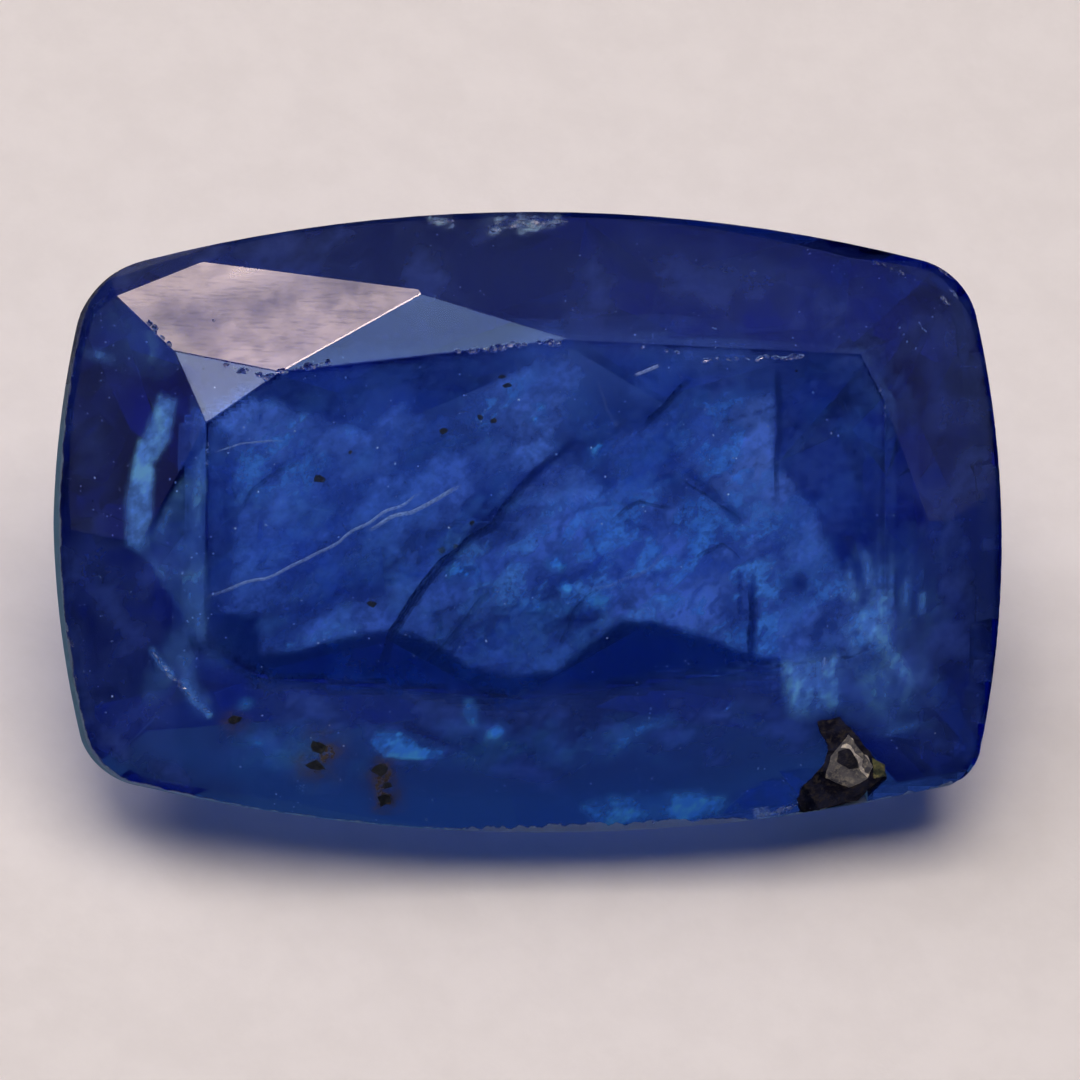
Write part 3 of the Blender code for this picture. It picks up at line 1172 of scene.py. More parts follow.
@dataclass
class Flakes:
    """Thin plates with uneven outlines that lie at one depth under the surface."""

    name: str
    spots: tuple[tuple[float, float, float, float], ...]
    depth: float = 0.06
    thickness: float = 0.02
    seed: int = 5
    sides: int = 7

    def build(self, sight: Sight, material: bpy.types.Material) -> bpy.types.Object:
        """Make the flakes, each spot being pixel x, pixel y, length and width in pixels.

        Args:
            sight: Finds places in the stone.
            material: The finish of the flakes.

        Returns:
            The new piece.
        """
        rng = random.Random(self.seed)
        bm = bmesh.new()
        for x, y, long, wide in self.spots:
            made = bmesh.ops.create_circle(bm, cap_ends=True, segments=self.sides, radius=1.0)["verts"]
            for v in made:
                v.co *= rng.uniform(0.62, 1.2)
            face = made[0].link_faces[0]
            raised = bmesh.ops.extrude_face_region(bm, geom=[face])["geom"]
            top = [g for g in raised if isinstance(g, bmesh.types.BMVert)]
            bmesh.ops.translate(bm, verts=top, vec=(0, 0, 1))
            self.settle(bm, made + top, sight, (x, y), (long, wide), rng)
        bmesh.ops.recalc_face_normals(bm, faces=bm.faces)
        return finished(self.name, mesh_of(self.name, bm), material)

    def settle(
        self,
        bm: bmesh.types.BMesh,
        verts: list[bmesh.types.BMVert],
        sight: Sight,
        pixel: Pixel,
        size: Pixel,
        rng: random.Random,
    ) -> None:
        """Scale one plate and lay it nearly parallel to the facet above it.

        Args:
            bm: The mesh that the plate is part of.
            verts: The plate's vertices, round the origin.
            sight: Finds places in the stone.
            pixel: Where the plate shows in the photograph.
            size: Its length and width in pixels.
            rng: Gives the tilt and the spin.
        """
        _, normal = sight.surface(pixel)
        right, _, _ = sight.camera.axes
        along = (right - normal * right.dot(normal)).normalized()
        tilt = Vector([rng.uniform(-0.25, 0.25) for _ in range(3)])
        normal = (normal + tilt).normalized()
        along = (along - normal * along.dot(normal)).normalized()
        place = Matrix((along, normal.cross(along), normal)).transposed().to_4x4()
        place.translation = sight.inside(pixel, self.depth)
        sizes = (size[0] / 2 / PIXELS_PER_MM, size[1] / 2 / PIXELS_PER_MM, self.thickness)
        spin = Matrix.Rotation(rng.uniform(-0.5, 0.5), 4, "Z")
        bmesh.ops.transform(bm, verts=verts, matrix=place @ spin @ Matrix.Diagonal((*(s * MM for s in sizes), 1.0)))


@dataclass
class Specks:
    """Many tiny crystals scattered through a part of the stone."""

    name: str
    areas: tuple[tuple[float, float, float, float, int], ...]
    depths: tuple[float, float]
    sizes: tuple[float, float]
    slot: Slot
    seed: int = 3

    def build(self, sight: Sight, material: bpy.types.Material) -> bpy.types.Object:
        """Scatter the specks, each area being left, top, right, bottom and how many.

        Args:
            sight: Finds places in the stone.
            material: The finish of the specks.

        Returns:
            The new piece.
        """
        rng = random.Random(self.seed)
        bm = bmesh.new()
        layer = bm.verts.layers.float.new("thick")
        for left, top, right, bottom, count in self.areas:
            for _ in range(count):
                pixel = (rng.uniform(left, right), rng.uniform(top, bottom))
                size = self.sizes[0] * (self.sizes[1] / self.sizes[0]) ** (rng.random() ** 2)
                made = bmesh.ops.create_icosphere(bm, subdivisions=1, radius=size / 2 * MM)["verts"]
                long, wide, tall = rng.uniform(0.5, 1.6), rng.uniform(0.5, 1.0), rng.uniform(0.5, 1.0)
                stretch = Matrix.Diagonal((long, wide, tall, 1.0))
                turn = Matrix.Rotation(rng.uniform(0, math.tau), 4, Vector((rng.random(), rng.random(), 0.3)))
                place = Matrix.Translation(sight.inside(pixel, rng.uniform(*self.depths)))
                bmesh.ops.transform(bm, verts=made, matrix=place @ turn @ stretch)
                for v in made:
                    v[layer] = 1.0
        return finished(self.name, mesh_of(self.name, bm), material)


@dataclass
class RockGrain:
    """A grain or crust of host rock that stands a little out of what it sits on."""

    name: str
    outline: tuple[Pixel, ...]
    proud: float
    depth: float
    finish: RockFinish
    roughen: float = 0.02
    rings: int = 3
    lumps: float = 0.11
    seed: int = 4

    def build(self, sight: Sight, under: bpy.types.Object | None = None) -> bpy.types.Object:
        """Raise the outline out of what it sits on and roughen it.

        Args:
            sight: Finds places in the pit.
            under: The piece that the grain sits on, if it isn't the crystal itself.

        Returns:
            The new piece.
        """
        bm = bmesh.new()
        _, _, back = sight.camera.axes
        spots = [self.spot(sight, under, p) for p in self.outline]
        ring = [bm.verts.new(spot - back * self.depth * MM) for spot in spots]
        face = bm.faces.new(ring)
        if face.normal.dot(back) < 0:
            face.normal_flip()
        raised = bmesh.ops.extrude_face_region(bm, geom=[face])["geom"]
        top = [g for g in raised if isinstance(g, bmesh.types.BMVert)]
        bmesh.ops.translate(bm, verts=top, vec=back * (self.depth + self.proud) * MM)
        bmesh.ops.recalc_face_normals(bm, faces=bm.faces)
        bmesh.ops.subdivide_edges(bm, edges=bm.edges[:], cuts=self.rings, use_grid_fill=True)
        bmesh.ops.triangulate(bm, faces=bm.faces[:])
        noise.seed_set(self.seed)
        for v in bm.verts:
            v.co += Vector(noise.noise_vector(v.co / (self.lumps * MM))) * self.roughen * MM
        bmesh.ops.recalc_face_normals(bm, faces=bm.faces)
        return finished(self.name, mesh_of(self.name, bm), self.finish.build())

    def spot(self, sight: Sight, under: bpy.types.Object | None, pixel: Pixel) -> Vector:
        """The point that shows at a pixel, on the piece underneath or else on the crystal.

        Args:
            sight: Finds places in the pit.
            under: The piece underneath, if there is one.
            pixel: The place in the photograph.

        Returns:
            The point, in metres.
        """
        if under is not None:
            mesh = under.data
            tree = BVHTree.FromPolygons([v.co for v in mesh.vertices], [f.vertices for f in mesh.polygons])
            point = tree.ray_cast(*sight.camera.sight(pixel))[0]
            if point is not None:
                return point
        return sight.surface(pixel)[0]


@dataclass
class Interior:
    """Everything that is sealed in the crystal, placed by where it shows in the photograph."""

    cut: CuttingFrame
    sight: Sight
    table: tuple[Pixel, ...] = (
        (214, 420), (262, 379), (570, 344), (863, 356), (887, 402), (887, 640), (853, 660), (520, 700),
        (261, 680), (204, 645), (204, 445),
    )
    # The band and the block: where the table lies in the pavilion's shade; the clouds thin there and a painted shadow
    # layer covers them.
    band: Patch = Patch(
        (
            (258, 655), (300, 650), (341, 637), (386, 631), (412, 632), (440, 648), (470, 667), (510, 676),
            (556, 671), (586, 646), (620, 620), (656, 621), (714, 640), (757, 657), (790, 660), (757, 668),
            (629, 690), (500, 700), (371, 688), (258, 684),
        ),
        0.93,
        4,
    )
    block: Patch = Patch(((204, 610), (258, 616), (260, 682), (203, 648)), 0.8, 4)
    shade: tuple[Blob | Patch | Stroke, ...] = (
        Patch(
            (
                (262, 378), (457, 350), (560, 345), (523, 372), (470, 398), (431, 428), (401, 403),
                (367, 434), (252, 396),
            ),
            0.62,
            6,
        ),
        Patch(((588, 350), (775, 354), (775, 394), (700, 396), (640, 430), (600, 424), (580, 380)), 0.5, 10),
        Patch(((776, 352), (863, 353), (887, 400), (887, 560), (850, 584), (812, 512), (776, 462)), 0.66, 5),
        Patch(((204, 420), (230, 430), (236, 520), (232, 606), (204, 612)), 0.6, 6),
        Blob((795, 586), 20, 18, 0.6),
        Blob((552, 606), 52, 26, 0.4, 15),
        Blob((608, 480), 14, 9, 0.5, -35),
        Stroke(((690, 375), (640, 420), (570, 455), (525, 480)), 9, 0.5),
        Stroke(((576, 440), (523, 483), (455, 552), (413, 600), (362, 682)), 4.5, 0.8),
        Stroke(((494, 585), (467, 616), (433, 653), (415, 676)), 5, 0.4),
        Stroke(((579, 462), (617, 492)), 5, 0.5),
        Stroke(((689, 472), (715, 497), (738, 519)), 5.5, 0.8),
        Stroke(((672, 441), (673, 484)), 3, 0.5),
        Stroke(((626, 521), (655, 534)), 3.5, 0.7),
        Stroke(((556, 517), (600, 505), (640, 500)), 3, 0.4),
        Stroke(((753, 577), (751, 657)), 4, 0.85),
        Stroke(((739, 572), (741, 612)), 3, 0.65),
        Stroke(((727, 612), (733, 640)), 3, 0.5),
        Stroke(((664, 547), (652, 570), (668, 578)), 2.5, 0.6),
        Stroke(((590, 536), (600, 560), (592, 580)), 2.5, 0.45),
        Stroke(((700, 545), (718, 566)), 2.5, 0.5),
        Stroke(((620, 566), (622, 604)), 3, 0.5),
        Stroke(((690, 590), (700, 622)), 2.5, 0.4),
        Stroke(((776, 366), (777, 430), (775, 500)), 4, 0.5),
        Stroke(((238, 512), (262, 478), (300, 455)), 4, 0.4),
        Stroke(((262, 388), (330, 418), (372, 430)), 4, 0.35),
        Stroke(((300, 612), (352, 588), (402, 560)), 3.5, 0.35),
    )

    flakes: tuple[tuple[float, float, float, float], ...] = (
        (235, 719, 14, 9), (319, 747, 23, 15), (315, 766, 21, 13), (379, 770, 17, 14), (387, 785, 11, 11),
        (384, 800, 15, 15),
    )
    dots: tuple[tuple[float, float, float, float], ...] = (
        (319, 479, 14, 9), (444, 431, 11, 7), (480, 417, 7, 6), (494, 421, 7, 6), (508, 385, 13, 5),
        (502, 377, 10, 4), (350, 452, 4, 4), (472, 523, 6, 5), (442, 550, 9, 8), (455, 546, 6, 5),
        (372, 604, 11, 7),
    )
    pale_areas: tuple[tuple[float, float, float, float, int], ...] = (
        (210, 360, 880, 690, 260), (70, 300, 205, 720, 120), (430, 230, 960, 350, 90),
        (240, 700, 960, 800, 150),
    )
    dark_areas: tuple[tuple[float, float, float, float, int], ...] = (
        (210, 360, 880, 690, 80), (90, 330, 205, 720, 20), (240, 700, 900, 800, 30),
    )

    def veils(self) -> list[Veil]:
        """The cloudy sheets under the table, from the deepest to the nearest.

        Returns:
            The sheets, not built yet.
        """
        body = (
            Patch(self.table, 0.42, 8),
            Blob((650, 545), 160, 75, 0.34, 8),
            Blob((730, 600), 70, 60, 0.3),
            Blob((495, 420), 60, 60, 0.3),
            Blob((300, 480), 110, 60, 0.2),
            Blob((300, 425), 75, 34, 0.5),
            Blob((315, 635), 70, 16, 0.35, 8),
            Patch(((690, 405), (772, 400), (778, 512), (720, 520), (680, 470)), 0.35, 10),
        )
        bright = (
            Patch(self.table, 0.10, 8),
            Blob((620, 560), 145, 55, 0.9, 5),
            Blob((720, 600), 50, 45, 0.7),
            Blob((500, 400), 30, 40, 0.5),
            Blob((725, 440), 45, 48, 0.55),
            Blob((300, 640), 90, 18, 0.4, 6),
            Blob((270, 470), 60, 40, 0.35),
            Blob((300, 428), 70, 30, 0.45),
            # The next four blobs also paint the sparkles into the bright veil.
            Blob((465, 572), 12, 8, 0.8),
            Blob((567, 564), 12, 8, 0.8),
            Blob((577, 589), 8, 8, 0.7),
            Blob((549, 412), 9, 14, 0.6),
            Blob((830, 600), 34, 34, 0.35),
            Blob((845, 425), 40, 30, 0.25),
            Patch(((759, 577), (778, 580), (778, 653), (759, 653)), 0.75, 4),
            Patch(((845, 612), (884, 610), (884, 652), (846, 652)), 0.7, 5),
        )
        clouds = Mottle(0.8, 0.45, 0.35, 1.2, 35, 0.5, 0.03)
        lace = Mottle(2.2, 0.0, 0.16, 1.3, 35, 0.9, 0.05)
        low, high = (200, 340), (892, 704)
        shade = (*self.shade, self.band, self.block)
        return [
            Veil("veil_deep", low, high, 2.1, body, shade, clouds, 0.5, step=8, seed=7.7, dip=(0.4, 0.5)),
            Veil("veil_body", low, high, 1.0, body, shade, clouds, 0.3, step=4, seed=4.1, dip=(-0.3, 0.2)),
            Veil("veil_bright", low, high, 0.6, bright, shade, lace, 0.3, step=3.5, seed=1.3, dip=(0.3, -0.3)),
        ]

    def hazes(self) -> list[Veil]:
        """Haze under the crown, partly painted tone for light through it, and sharper painted shade under the table.

        Returns:
            The sheets, not built yet.
        """
        return [
            # Partly painted light: this navy sheet evens out the crown where its facets render darker, standing in
            # for the light seen through it.
            Veil(
                "haze_skin",
                (54, 212), (1006, 828),
                0.12,
                (
                    Blob((530, 520), 900, 700, 0.10),
                    Blob((440, 262), 200, 60, 0.8),
                    Blob((640, 290), 140, 60, 0.45),
                    Blob((820, 310), 160, 60, 0.45),
                    Blob((85, 480), 60, 190, 0.5),
                    Blob((135, 590), 45, 50, 0.6),
                    Blob((968, 490), 60, 180, 0.8),
                    Blob((930, 690), 60, 90, 1.0),
                    Blob((965, 610), 40, 60, 0.5),
                    Blob((140, 700), 60, 80, 0.6),
                    Blob((300, 250), 60, 24, 0.5, 20),
                    Stroke(((56, 430), (64, 350), (88, 302), (130, 276), (210, 250), (330, 230)), 13, 0.8),
                    Stroke(((60, 560), (70, 680), (92, 735), (150, 768), (230, 790)), 13, 0.7),
                ),
                mottle=Mottle(1.0, 0.6, 0.35),
                ripple=0.05,
                seed=9.1,
                step=7,
            ),
            # Partly painted light: this blue sheet covers the front crown's own reflections with an even tone for the
            # light seen through it.
            Veil(
                "haze_front",
                (110, 650), (985, 828),
                0.15,
                (
                    Patch(
                        ((250, 688), (520, 704), (853, 664), (900, 720), (720, 780), (380, 784), (220, 740)), 0.85, 20
                    ),
                    Patch(
                        ((203, 650), (261, 682), (520, 702), (853, 662), (960, 740), (860, 800), (200, 800)), 0.25, 12
                    ),
                    Blob((170, 700), 60, 36, 0.5, -30),
                ),
                mottle=Mottle(1.2, 0.62, 0.35, 1.5, -10),
                ripple=0.05,
                seed=8.4,
                step=6,
            ),
            # Painted shade: a dark sheet over the band and the block that darkens the table where the pavilion leaves
            # it in shade.
            Veil(
                "shadow_band",
                (200, 600), (800, 704),
                0.9,
                (self.band, self.block),
                mottle=Mottle(0.8, 0.7, 0.4),
                ripple=0.1,
                seed=6.3,
                step=5,
            ),
        ]

    def end_veils(self) -> list[Veil]:
        """The smaller sheets under the crown.

        Returns:
            The sheets, not built yet.
        """
        return [
            # Painted light: the pale blue patches and short vertical streaks stand in for glints of light through the
            # right end's crown.
            Veil(
                "painted_glints_right_end",
                (780, 440), (990, 760),
                0.1,
                (
                    Patch(((785, 662), (837, 660), (838, 696), (822, 714), (792, 712)), 0.5, 14),
                    Stroke(((790, 666), (797, 704)), 5, 0.25),
                    Stroke(((806, 664), (808, 690)), 3.5, 0.2),
                    Stroke(((819, 662), (818, 688)), 3, 0.4),
                    Stroke(((833, 662), (835, 702)), 4, 0.25),
                    Blob((868, 628), 9, 13, 0.85),
                    Stroke(((908, 581), (906, 604)), 3.5, 0.5),
                    Stroke(((923, 596), (921, 612)), 3.5, 0.55),
                    Stroke(((865, 555), (869, 582)), 4, 0.45),
                    Stroke(((850, 573), (853, 597)), 4, 0.4),
                    Stroke(((846, 629), (856, 652)), 5, 0.45),
                    Stroke(((880, 596), (886, 640), (902, 672)), 7, 0.3),
                    Blob((904, 728), 16, 5, 0.5, 12),
                    Blob((900, 590), 50, 60, 0.12),
                    Blob((885, 690), 40, 30, 0.28),
                ),
                ripple=0.03,
                mottle=Mottle(3.4, 0.45, 0.5, 1.6, 80),
                seed=2.2,
                step=3.5,
            ),
            # Painted light: the pale blue patches and streaks stand in for glints of light refracted through the left
            # end's crown.
            Veil(
                "painted_glints_left_end",
                (75, 300), (235, 720),
                0.1,
                (
                    Patch(((128, 545), (126, 500), (140, 441), (153, 470), (150, 520), (140, 552)), 1.0, 5),
                    Patch(((160, 396), (176, 400), (168, 440), (154, 462), (138, 456)), 0.7, 5),
                    Blob((101, 356), 5, 12, 0.7, 70),
                    Blob((125, 330), 30, 30, 0.12),
                    Blob((150, 350), 30, 24, 0.16),
                    Blob((175, 650), 12, 40, 0.4, -30),
                    Stroke(((152, 650), (160, 663), (172, 675)), 2.4, 1.0),
                    Stroke(((183, 681), (192, 699), (209, 715)), 2.6, 1.0),
                    Stroke(((187, 660), (188, 684), (200, 705)), 8, 0.5),
                    Patch(((141, 549), (204, 446), (204, 644)), 0.3, 6),
                ),
                ripple=0.03,
                mottle=Mottle(1.3, 0.5, 0.4, 1.4, 80),
                seed=3.4,
                step=3,
            ),
            # Painted light: the bright blue patches stand in for a fracture's mirror reflection under the front
            # crown, and the patch low on the right for a band of light through it.
            Veil(
                "painted_glints_front",
                (230, 695), (800, 830),
                0.09,
                (
                    Patch(
                        (
                            (370, 741), (377, 732), (396, 731), (410, 738), (419, 748), (444, 750),
                            (441, 759), (384, 757),
                        ),
                        1.0,
                        3,
                    ),
                    Blob((471, 712), 5, 10, 0.9, 20),
                    Blob((496, 732), 8, 5, 0.8, 20),
                    Blob((245, 704), 7, 5, 0.3, 20),
                    Blob((257, 743), 9, 5, 0.2, -20),
                    Blob((266, 764), 6, 3, 0.2, 30),
                    Patch(
                        ((585, 808), (612, 799), (700, 796), (722, 801), (700, 817), (640, 825), (596, 825)), 0.7, 10
                    ),
                    Blob((692, 808), 24, 10, 0.9),
                    Stroke(((622, 744), (645, 724), (670, 718)), 6, 0.3),
                    Blob((560, 745), 160, 30, 0.10),
                    Blob((300, 755), 60, 30, 0.15),
                ),
                ripple=0.03,
                mottle=Mottle(2.6, 0.3, 0.35, 1.3, 15),
                seed=5.5,
                step=3,
            ),
            # Painted glints: small bright sparkles under the table.
            Veil(
                "painted_sparkles",
                (440, 395), (625, 625),
                0.4,
                (
                    Blob((465, 574), 13, 8, 1.0),
                    Blob((567, 587), 5, 5, 1.0),
                    Blob((558, 561), 8, 8, 0.9),
                    Blob((531, 607), 8, 5, 0.8),
                    Blob((600, 449), 8, 7, 0.7),
                    Blob((539, 415), 6, 11, 1.0),
                    Blob((590, 602), 24, 6, 0.5, 10),
                ),
                ripple=0.03,
                mottle=Mottle(4.0, 0.1, 0.3),
                seed=4.8,
                step=3,
            ),
            Veil(
                "veil_back_edge",
                (420, 207), (575, 245),
                0.05,
                (
                    Stroke(((489, 233), (510, 224), (532, 221), (557, 216)), 3.0, 1.0),
                    Stroke(((498, 219), (520, 216), (548, 226)), 2.5, 0.8),
                    Stroke(((520, 232), (540, 228), (561, 222)), 2.5, 0.8),
                    Blob((523, 222), 30, 9, 0.4),
                    Stroke(((430, 217), (452, 226)), 2.5, 0.7),
                    Blob((441, 222), 10, 5, 0.5),
                ),
                ripple=0.0,
                mottle=Mottle(4.0, 0.2, 0.3, 1.5, 10),
                seed=7.1,
                step=2.5,
            ),
        ]

    def feathers(self) -> list[Ribbon]:
        """Whitish feathers and fingerprints.

        Returns:
            The ribbons, not built yet.
        """
        return [
            Ribbon(
                "feather_long",
                ((203, 597, 0.3), (262, 576, 0.3), (325, 549, 0.3), (381, 514, 0.3), (426, 492, 0.3)),
                0.2,
                (1, 3),
                0.95,
                5.0,
            ),
            Ribbon("feather_fork", ((366, 529, 0.3), (421, 505, 0.3), (462, 486, 0.3)), 0.2, (1, 4), 1.0, 5.0),
            Ribbon("scratch_top", ((634, 374, 0.05), (660, 364, 0.05)), 0.1, (1, 3), 1.0, 1.0),
            Ribbon("arc_line", ((213, 452, 0.3), (240, 443, 0.3), (286, 440, 0.3)), 0.2, (0, 2), 0.6, 2.0),
            Ribbon("streak_right", ((823, 656, 0.2), (820, 684, 0.2)), 0.3, (3, 2), 1.0, 2.0),
            Ribbon("streak_pit", ((752, 819, 0.05), (772, 813, 0.05), (794, 804, 0.05)), 0.1, (1, 4), 0.6, 3.0),
            Ribbon("streak_corner", ((969, 260, 0.05), (988, 271, 0.05)), 0.05, (1, 3), 0.9, 2.0),
            Ribbon("feather_middle", ((590, 372, 0.3), (612, 420, 0.35), (640, 452, 0.3)), 0.3, (3, 2), 0.18, 5.0),
            Ribbon("feather_low", ((585, 590, 0.3), (640, 575, 0.3), (668, 548, 0.3)), 0.3, (2, 3), 0.2, 6.0),
        ]

    def cracks(self) -> list[Ribbon]:
        """Dark healed cracks.

        Returns:
            The ribbons, not built yet.
        """
        return [
            Ribbon(
                "crack_main",
                (
                    (365, 678, 0.35), (383, 645, 0.35), (408, 595, 0.35), (450, 549, 0.35),
                    (492, 520, 0.35), (517, 482, 0.35), (568, 442, 0.35),
                ),
                0.5,
                (8, 5),
            ),
            Ribbon(
                "crack_beside",
                ((415, 676, 0.4), (433, 653, 0.4), (467, 616, 0.4), (494, 585, 0.4)),
                0.4,
                (6, 4),
                0.55,
            ),
            Ribbon("crack_short", ((641, 426, 0.35), (664, 402, 0.35), (686, 377, 0.35)), 0.4, (5, 4)),
            Ribbon("crack_right", ((676, 472, 0.35), (716, 500, 0.35), (742, 520, 0.35)), 0.3, (4, 5), 0.8),
            Ribbon("crack_edge", ((775, 366, 0.4), (777, 430, 0.4), (774, 500, 0.4)), 0.4, (6, 2), 0.7, 3.0),
            Ribbon("crack_bar", ((749, 585, 0.4), (747, 660, 0.4)), 0.4, (9, 2), 0.8, 3.0),
            Ribbon("crack_fork", ((611, 520, 0.35), (640, 500, 0.35), (672, 505, 0.35)), 0.3, (2, 4), 0.7, 4.0),
            Ribbon("crack_low", ((556, 650, 0.35), (571, 612, 0.35), (600, 586, 0.35)), 0.3, (4, 3), 0.6, 5.0),
            Ribbon("crack_far", ((690, 560, 0.35), (722, 545, 0.35), (741, 560, 0.35)), 0.3, (2, 4), 0.6, 6.0),
            Ribbon("crack_left", ((238, 512, 0.35), (262, 478, 0.35), (300, 455, 0.35)), 0.3, (2, 4), 0.45, 7.0),
        ]

    def sheets(self) -> list[bpy.types.Object]:
        """Make the sheets of cloud, haze and painted tone, painted glints and painted shadow.

        Returns:
            The new pieces.
        """
        milky = VeilFinish(self.cut, "cloud of fine inclusions", (0.235, 0.34, 0.66, 1), 1.6, 8.0, 0.65).build()
        bright = VeilFinish(self.cut, "bright veil", (0.14, 0.36, 0.76, 1), 1.35, 11.0, 0.45).build()
        # Painted glints: the finish of the light streaks at both ends.
        streak = VeilFinish(self.cut, "painted light streak", (0.22, 0.50, 1.0, 1), 1.4, 8.0, 0.75).build()
        # Painted glints: the azure finish of the front crown's reflections and of the sparkles.
        azure = VeilFinish(self.cut, "painted azure glint", (0.11, 0.42, 1.0, 1), 1.7, 8.0, 0.7).build()
        pale_streak = VeilFinish(self.cut, "pale streak", (0.50, 0.64, 0.84, 1), 1.3, 14.0, 0.5).build()
        # The two haze finishes are partly painted tone for the light seen through the crown.
        haze = VeilFinish(self.cut, "dark haze and painted tone", (0.055, 0.085, 0.27, 1), 1.0, 6.0, 0.85).build()
        blue_haze = VeilFinish(self.cut, "blue haze and painted tone", (0.052, 0.093, 0.31, 1), 1.0, 6.0, 0.85).build()
        # Painted shadow: the dark layer of the shaded band under the table.
        shadow = VeilFinish(self.cut, "painted shadow layer", (0.012, 0.05, 0.21, 1), 0.9, 6.0, 0.8).build()
        finishes = (milky, milky, bright, haze, blue_haze, shadow, streak, streak, azure, azure, pale_streak)
        veils = (*self.veils(), *self.hazes(), *self.end_veils())
        return [veil.build(self.sight, finish) for veil, finish in zip(veils, finishes, strict=True)]

    def lines(self, white: bpy.types.Material) -> list[bpy.types.Object]:
        """Make the light feathers and the dark cracks.

        Args:
            white: The finish of the feathers.

        Returns:
            The new pieces.
        """
        dark = VeilFinish(self.cut, "dark healed crack", (0.008, 0.022, 0.10, 1), 1.1, 14.0, 0.4, 0.1).build()
        made = [ribbon.build(self.sight, white, Slot.CLOUD) for ribbon in self.feathers()]
        return made + [ribbon.build(self.sight, dark, Slot.FRACTURE) for ribbon in self.cracks()]

    def grains(self, white: bpy.types.Material) -> list[bpy.types.Object]:
        """Make the graphite flakes with their stain, and the pale and dark specks.

        Args:
            white: The finish of the pale specks.

        Returns:
            The new pieces.
        """
        carbon = RockFinish(
            self.cut, "graphite", (0.03, 0.028, 0.028, 1), (0.006, 0.006, 0.007, 1), (0.06, 0.05, 0.04, 1), 0.2, 0.5
        ).build()
        brown = VeilFinish(self.cut, "brown stain", (0.10, 0.06, 0.035, 1), 1.2, 20.0, 0.4, 0.2).build()
        flakes = Flakes("graphite_flakes", self.flakes).build(self.sight, carbon)
        around = tuple(Blob((x + 2, y + 2), w * 0.9, h * 1.1, 0.9) for x, y, w, h in self.flakes)
        mottle = Mottle(2.5, 0.3, 0.3)
        stain = Veil("graphite_stain", (215, 705), (410, 815), 0.075, around, mottle=mottle, ripple=0.02, step=4)
        stained = stain.build(self.sight, brown)
        dots = Flakes("graphite_dots", self.dots, 0.5, 0.02, 9).build(self.sight, carbon)
        pale = Specks("specks_pale", self.pale_areas, (0.06, 1.6), (0.012, 0.04), Slot.CLOUD)
        dark = Specks("specks_dark", self.dark_areas, (0.1, 1.8), (0.012, 0.035), Slot.GRAPHITE, 8)
        return [flakes, stained, dots, pale.build(self.sight, white), dark.build(self.sight, carbon)]

    def build(self) -> list[bpy.types.Object]:
        """Make all inclusions.

        Returns:
            The new pieces.
        """
        white = VeilFinish(self.cut, "white feather", (0.86, 0.90, 0.95, 1), 1.2, 24.0, 0.35).build()
        return [*self.sheets(), *self.lines(white), *self.grains(white)]


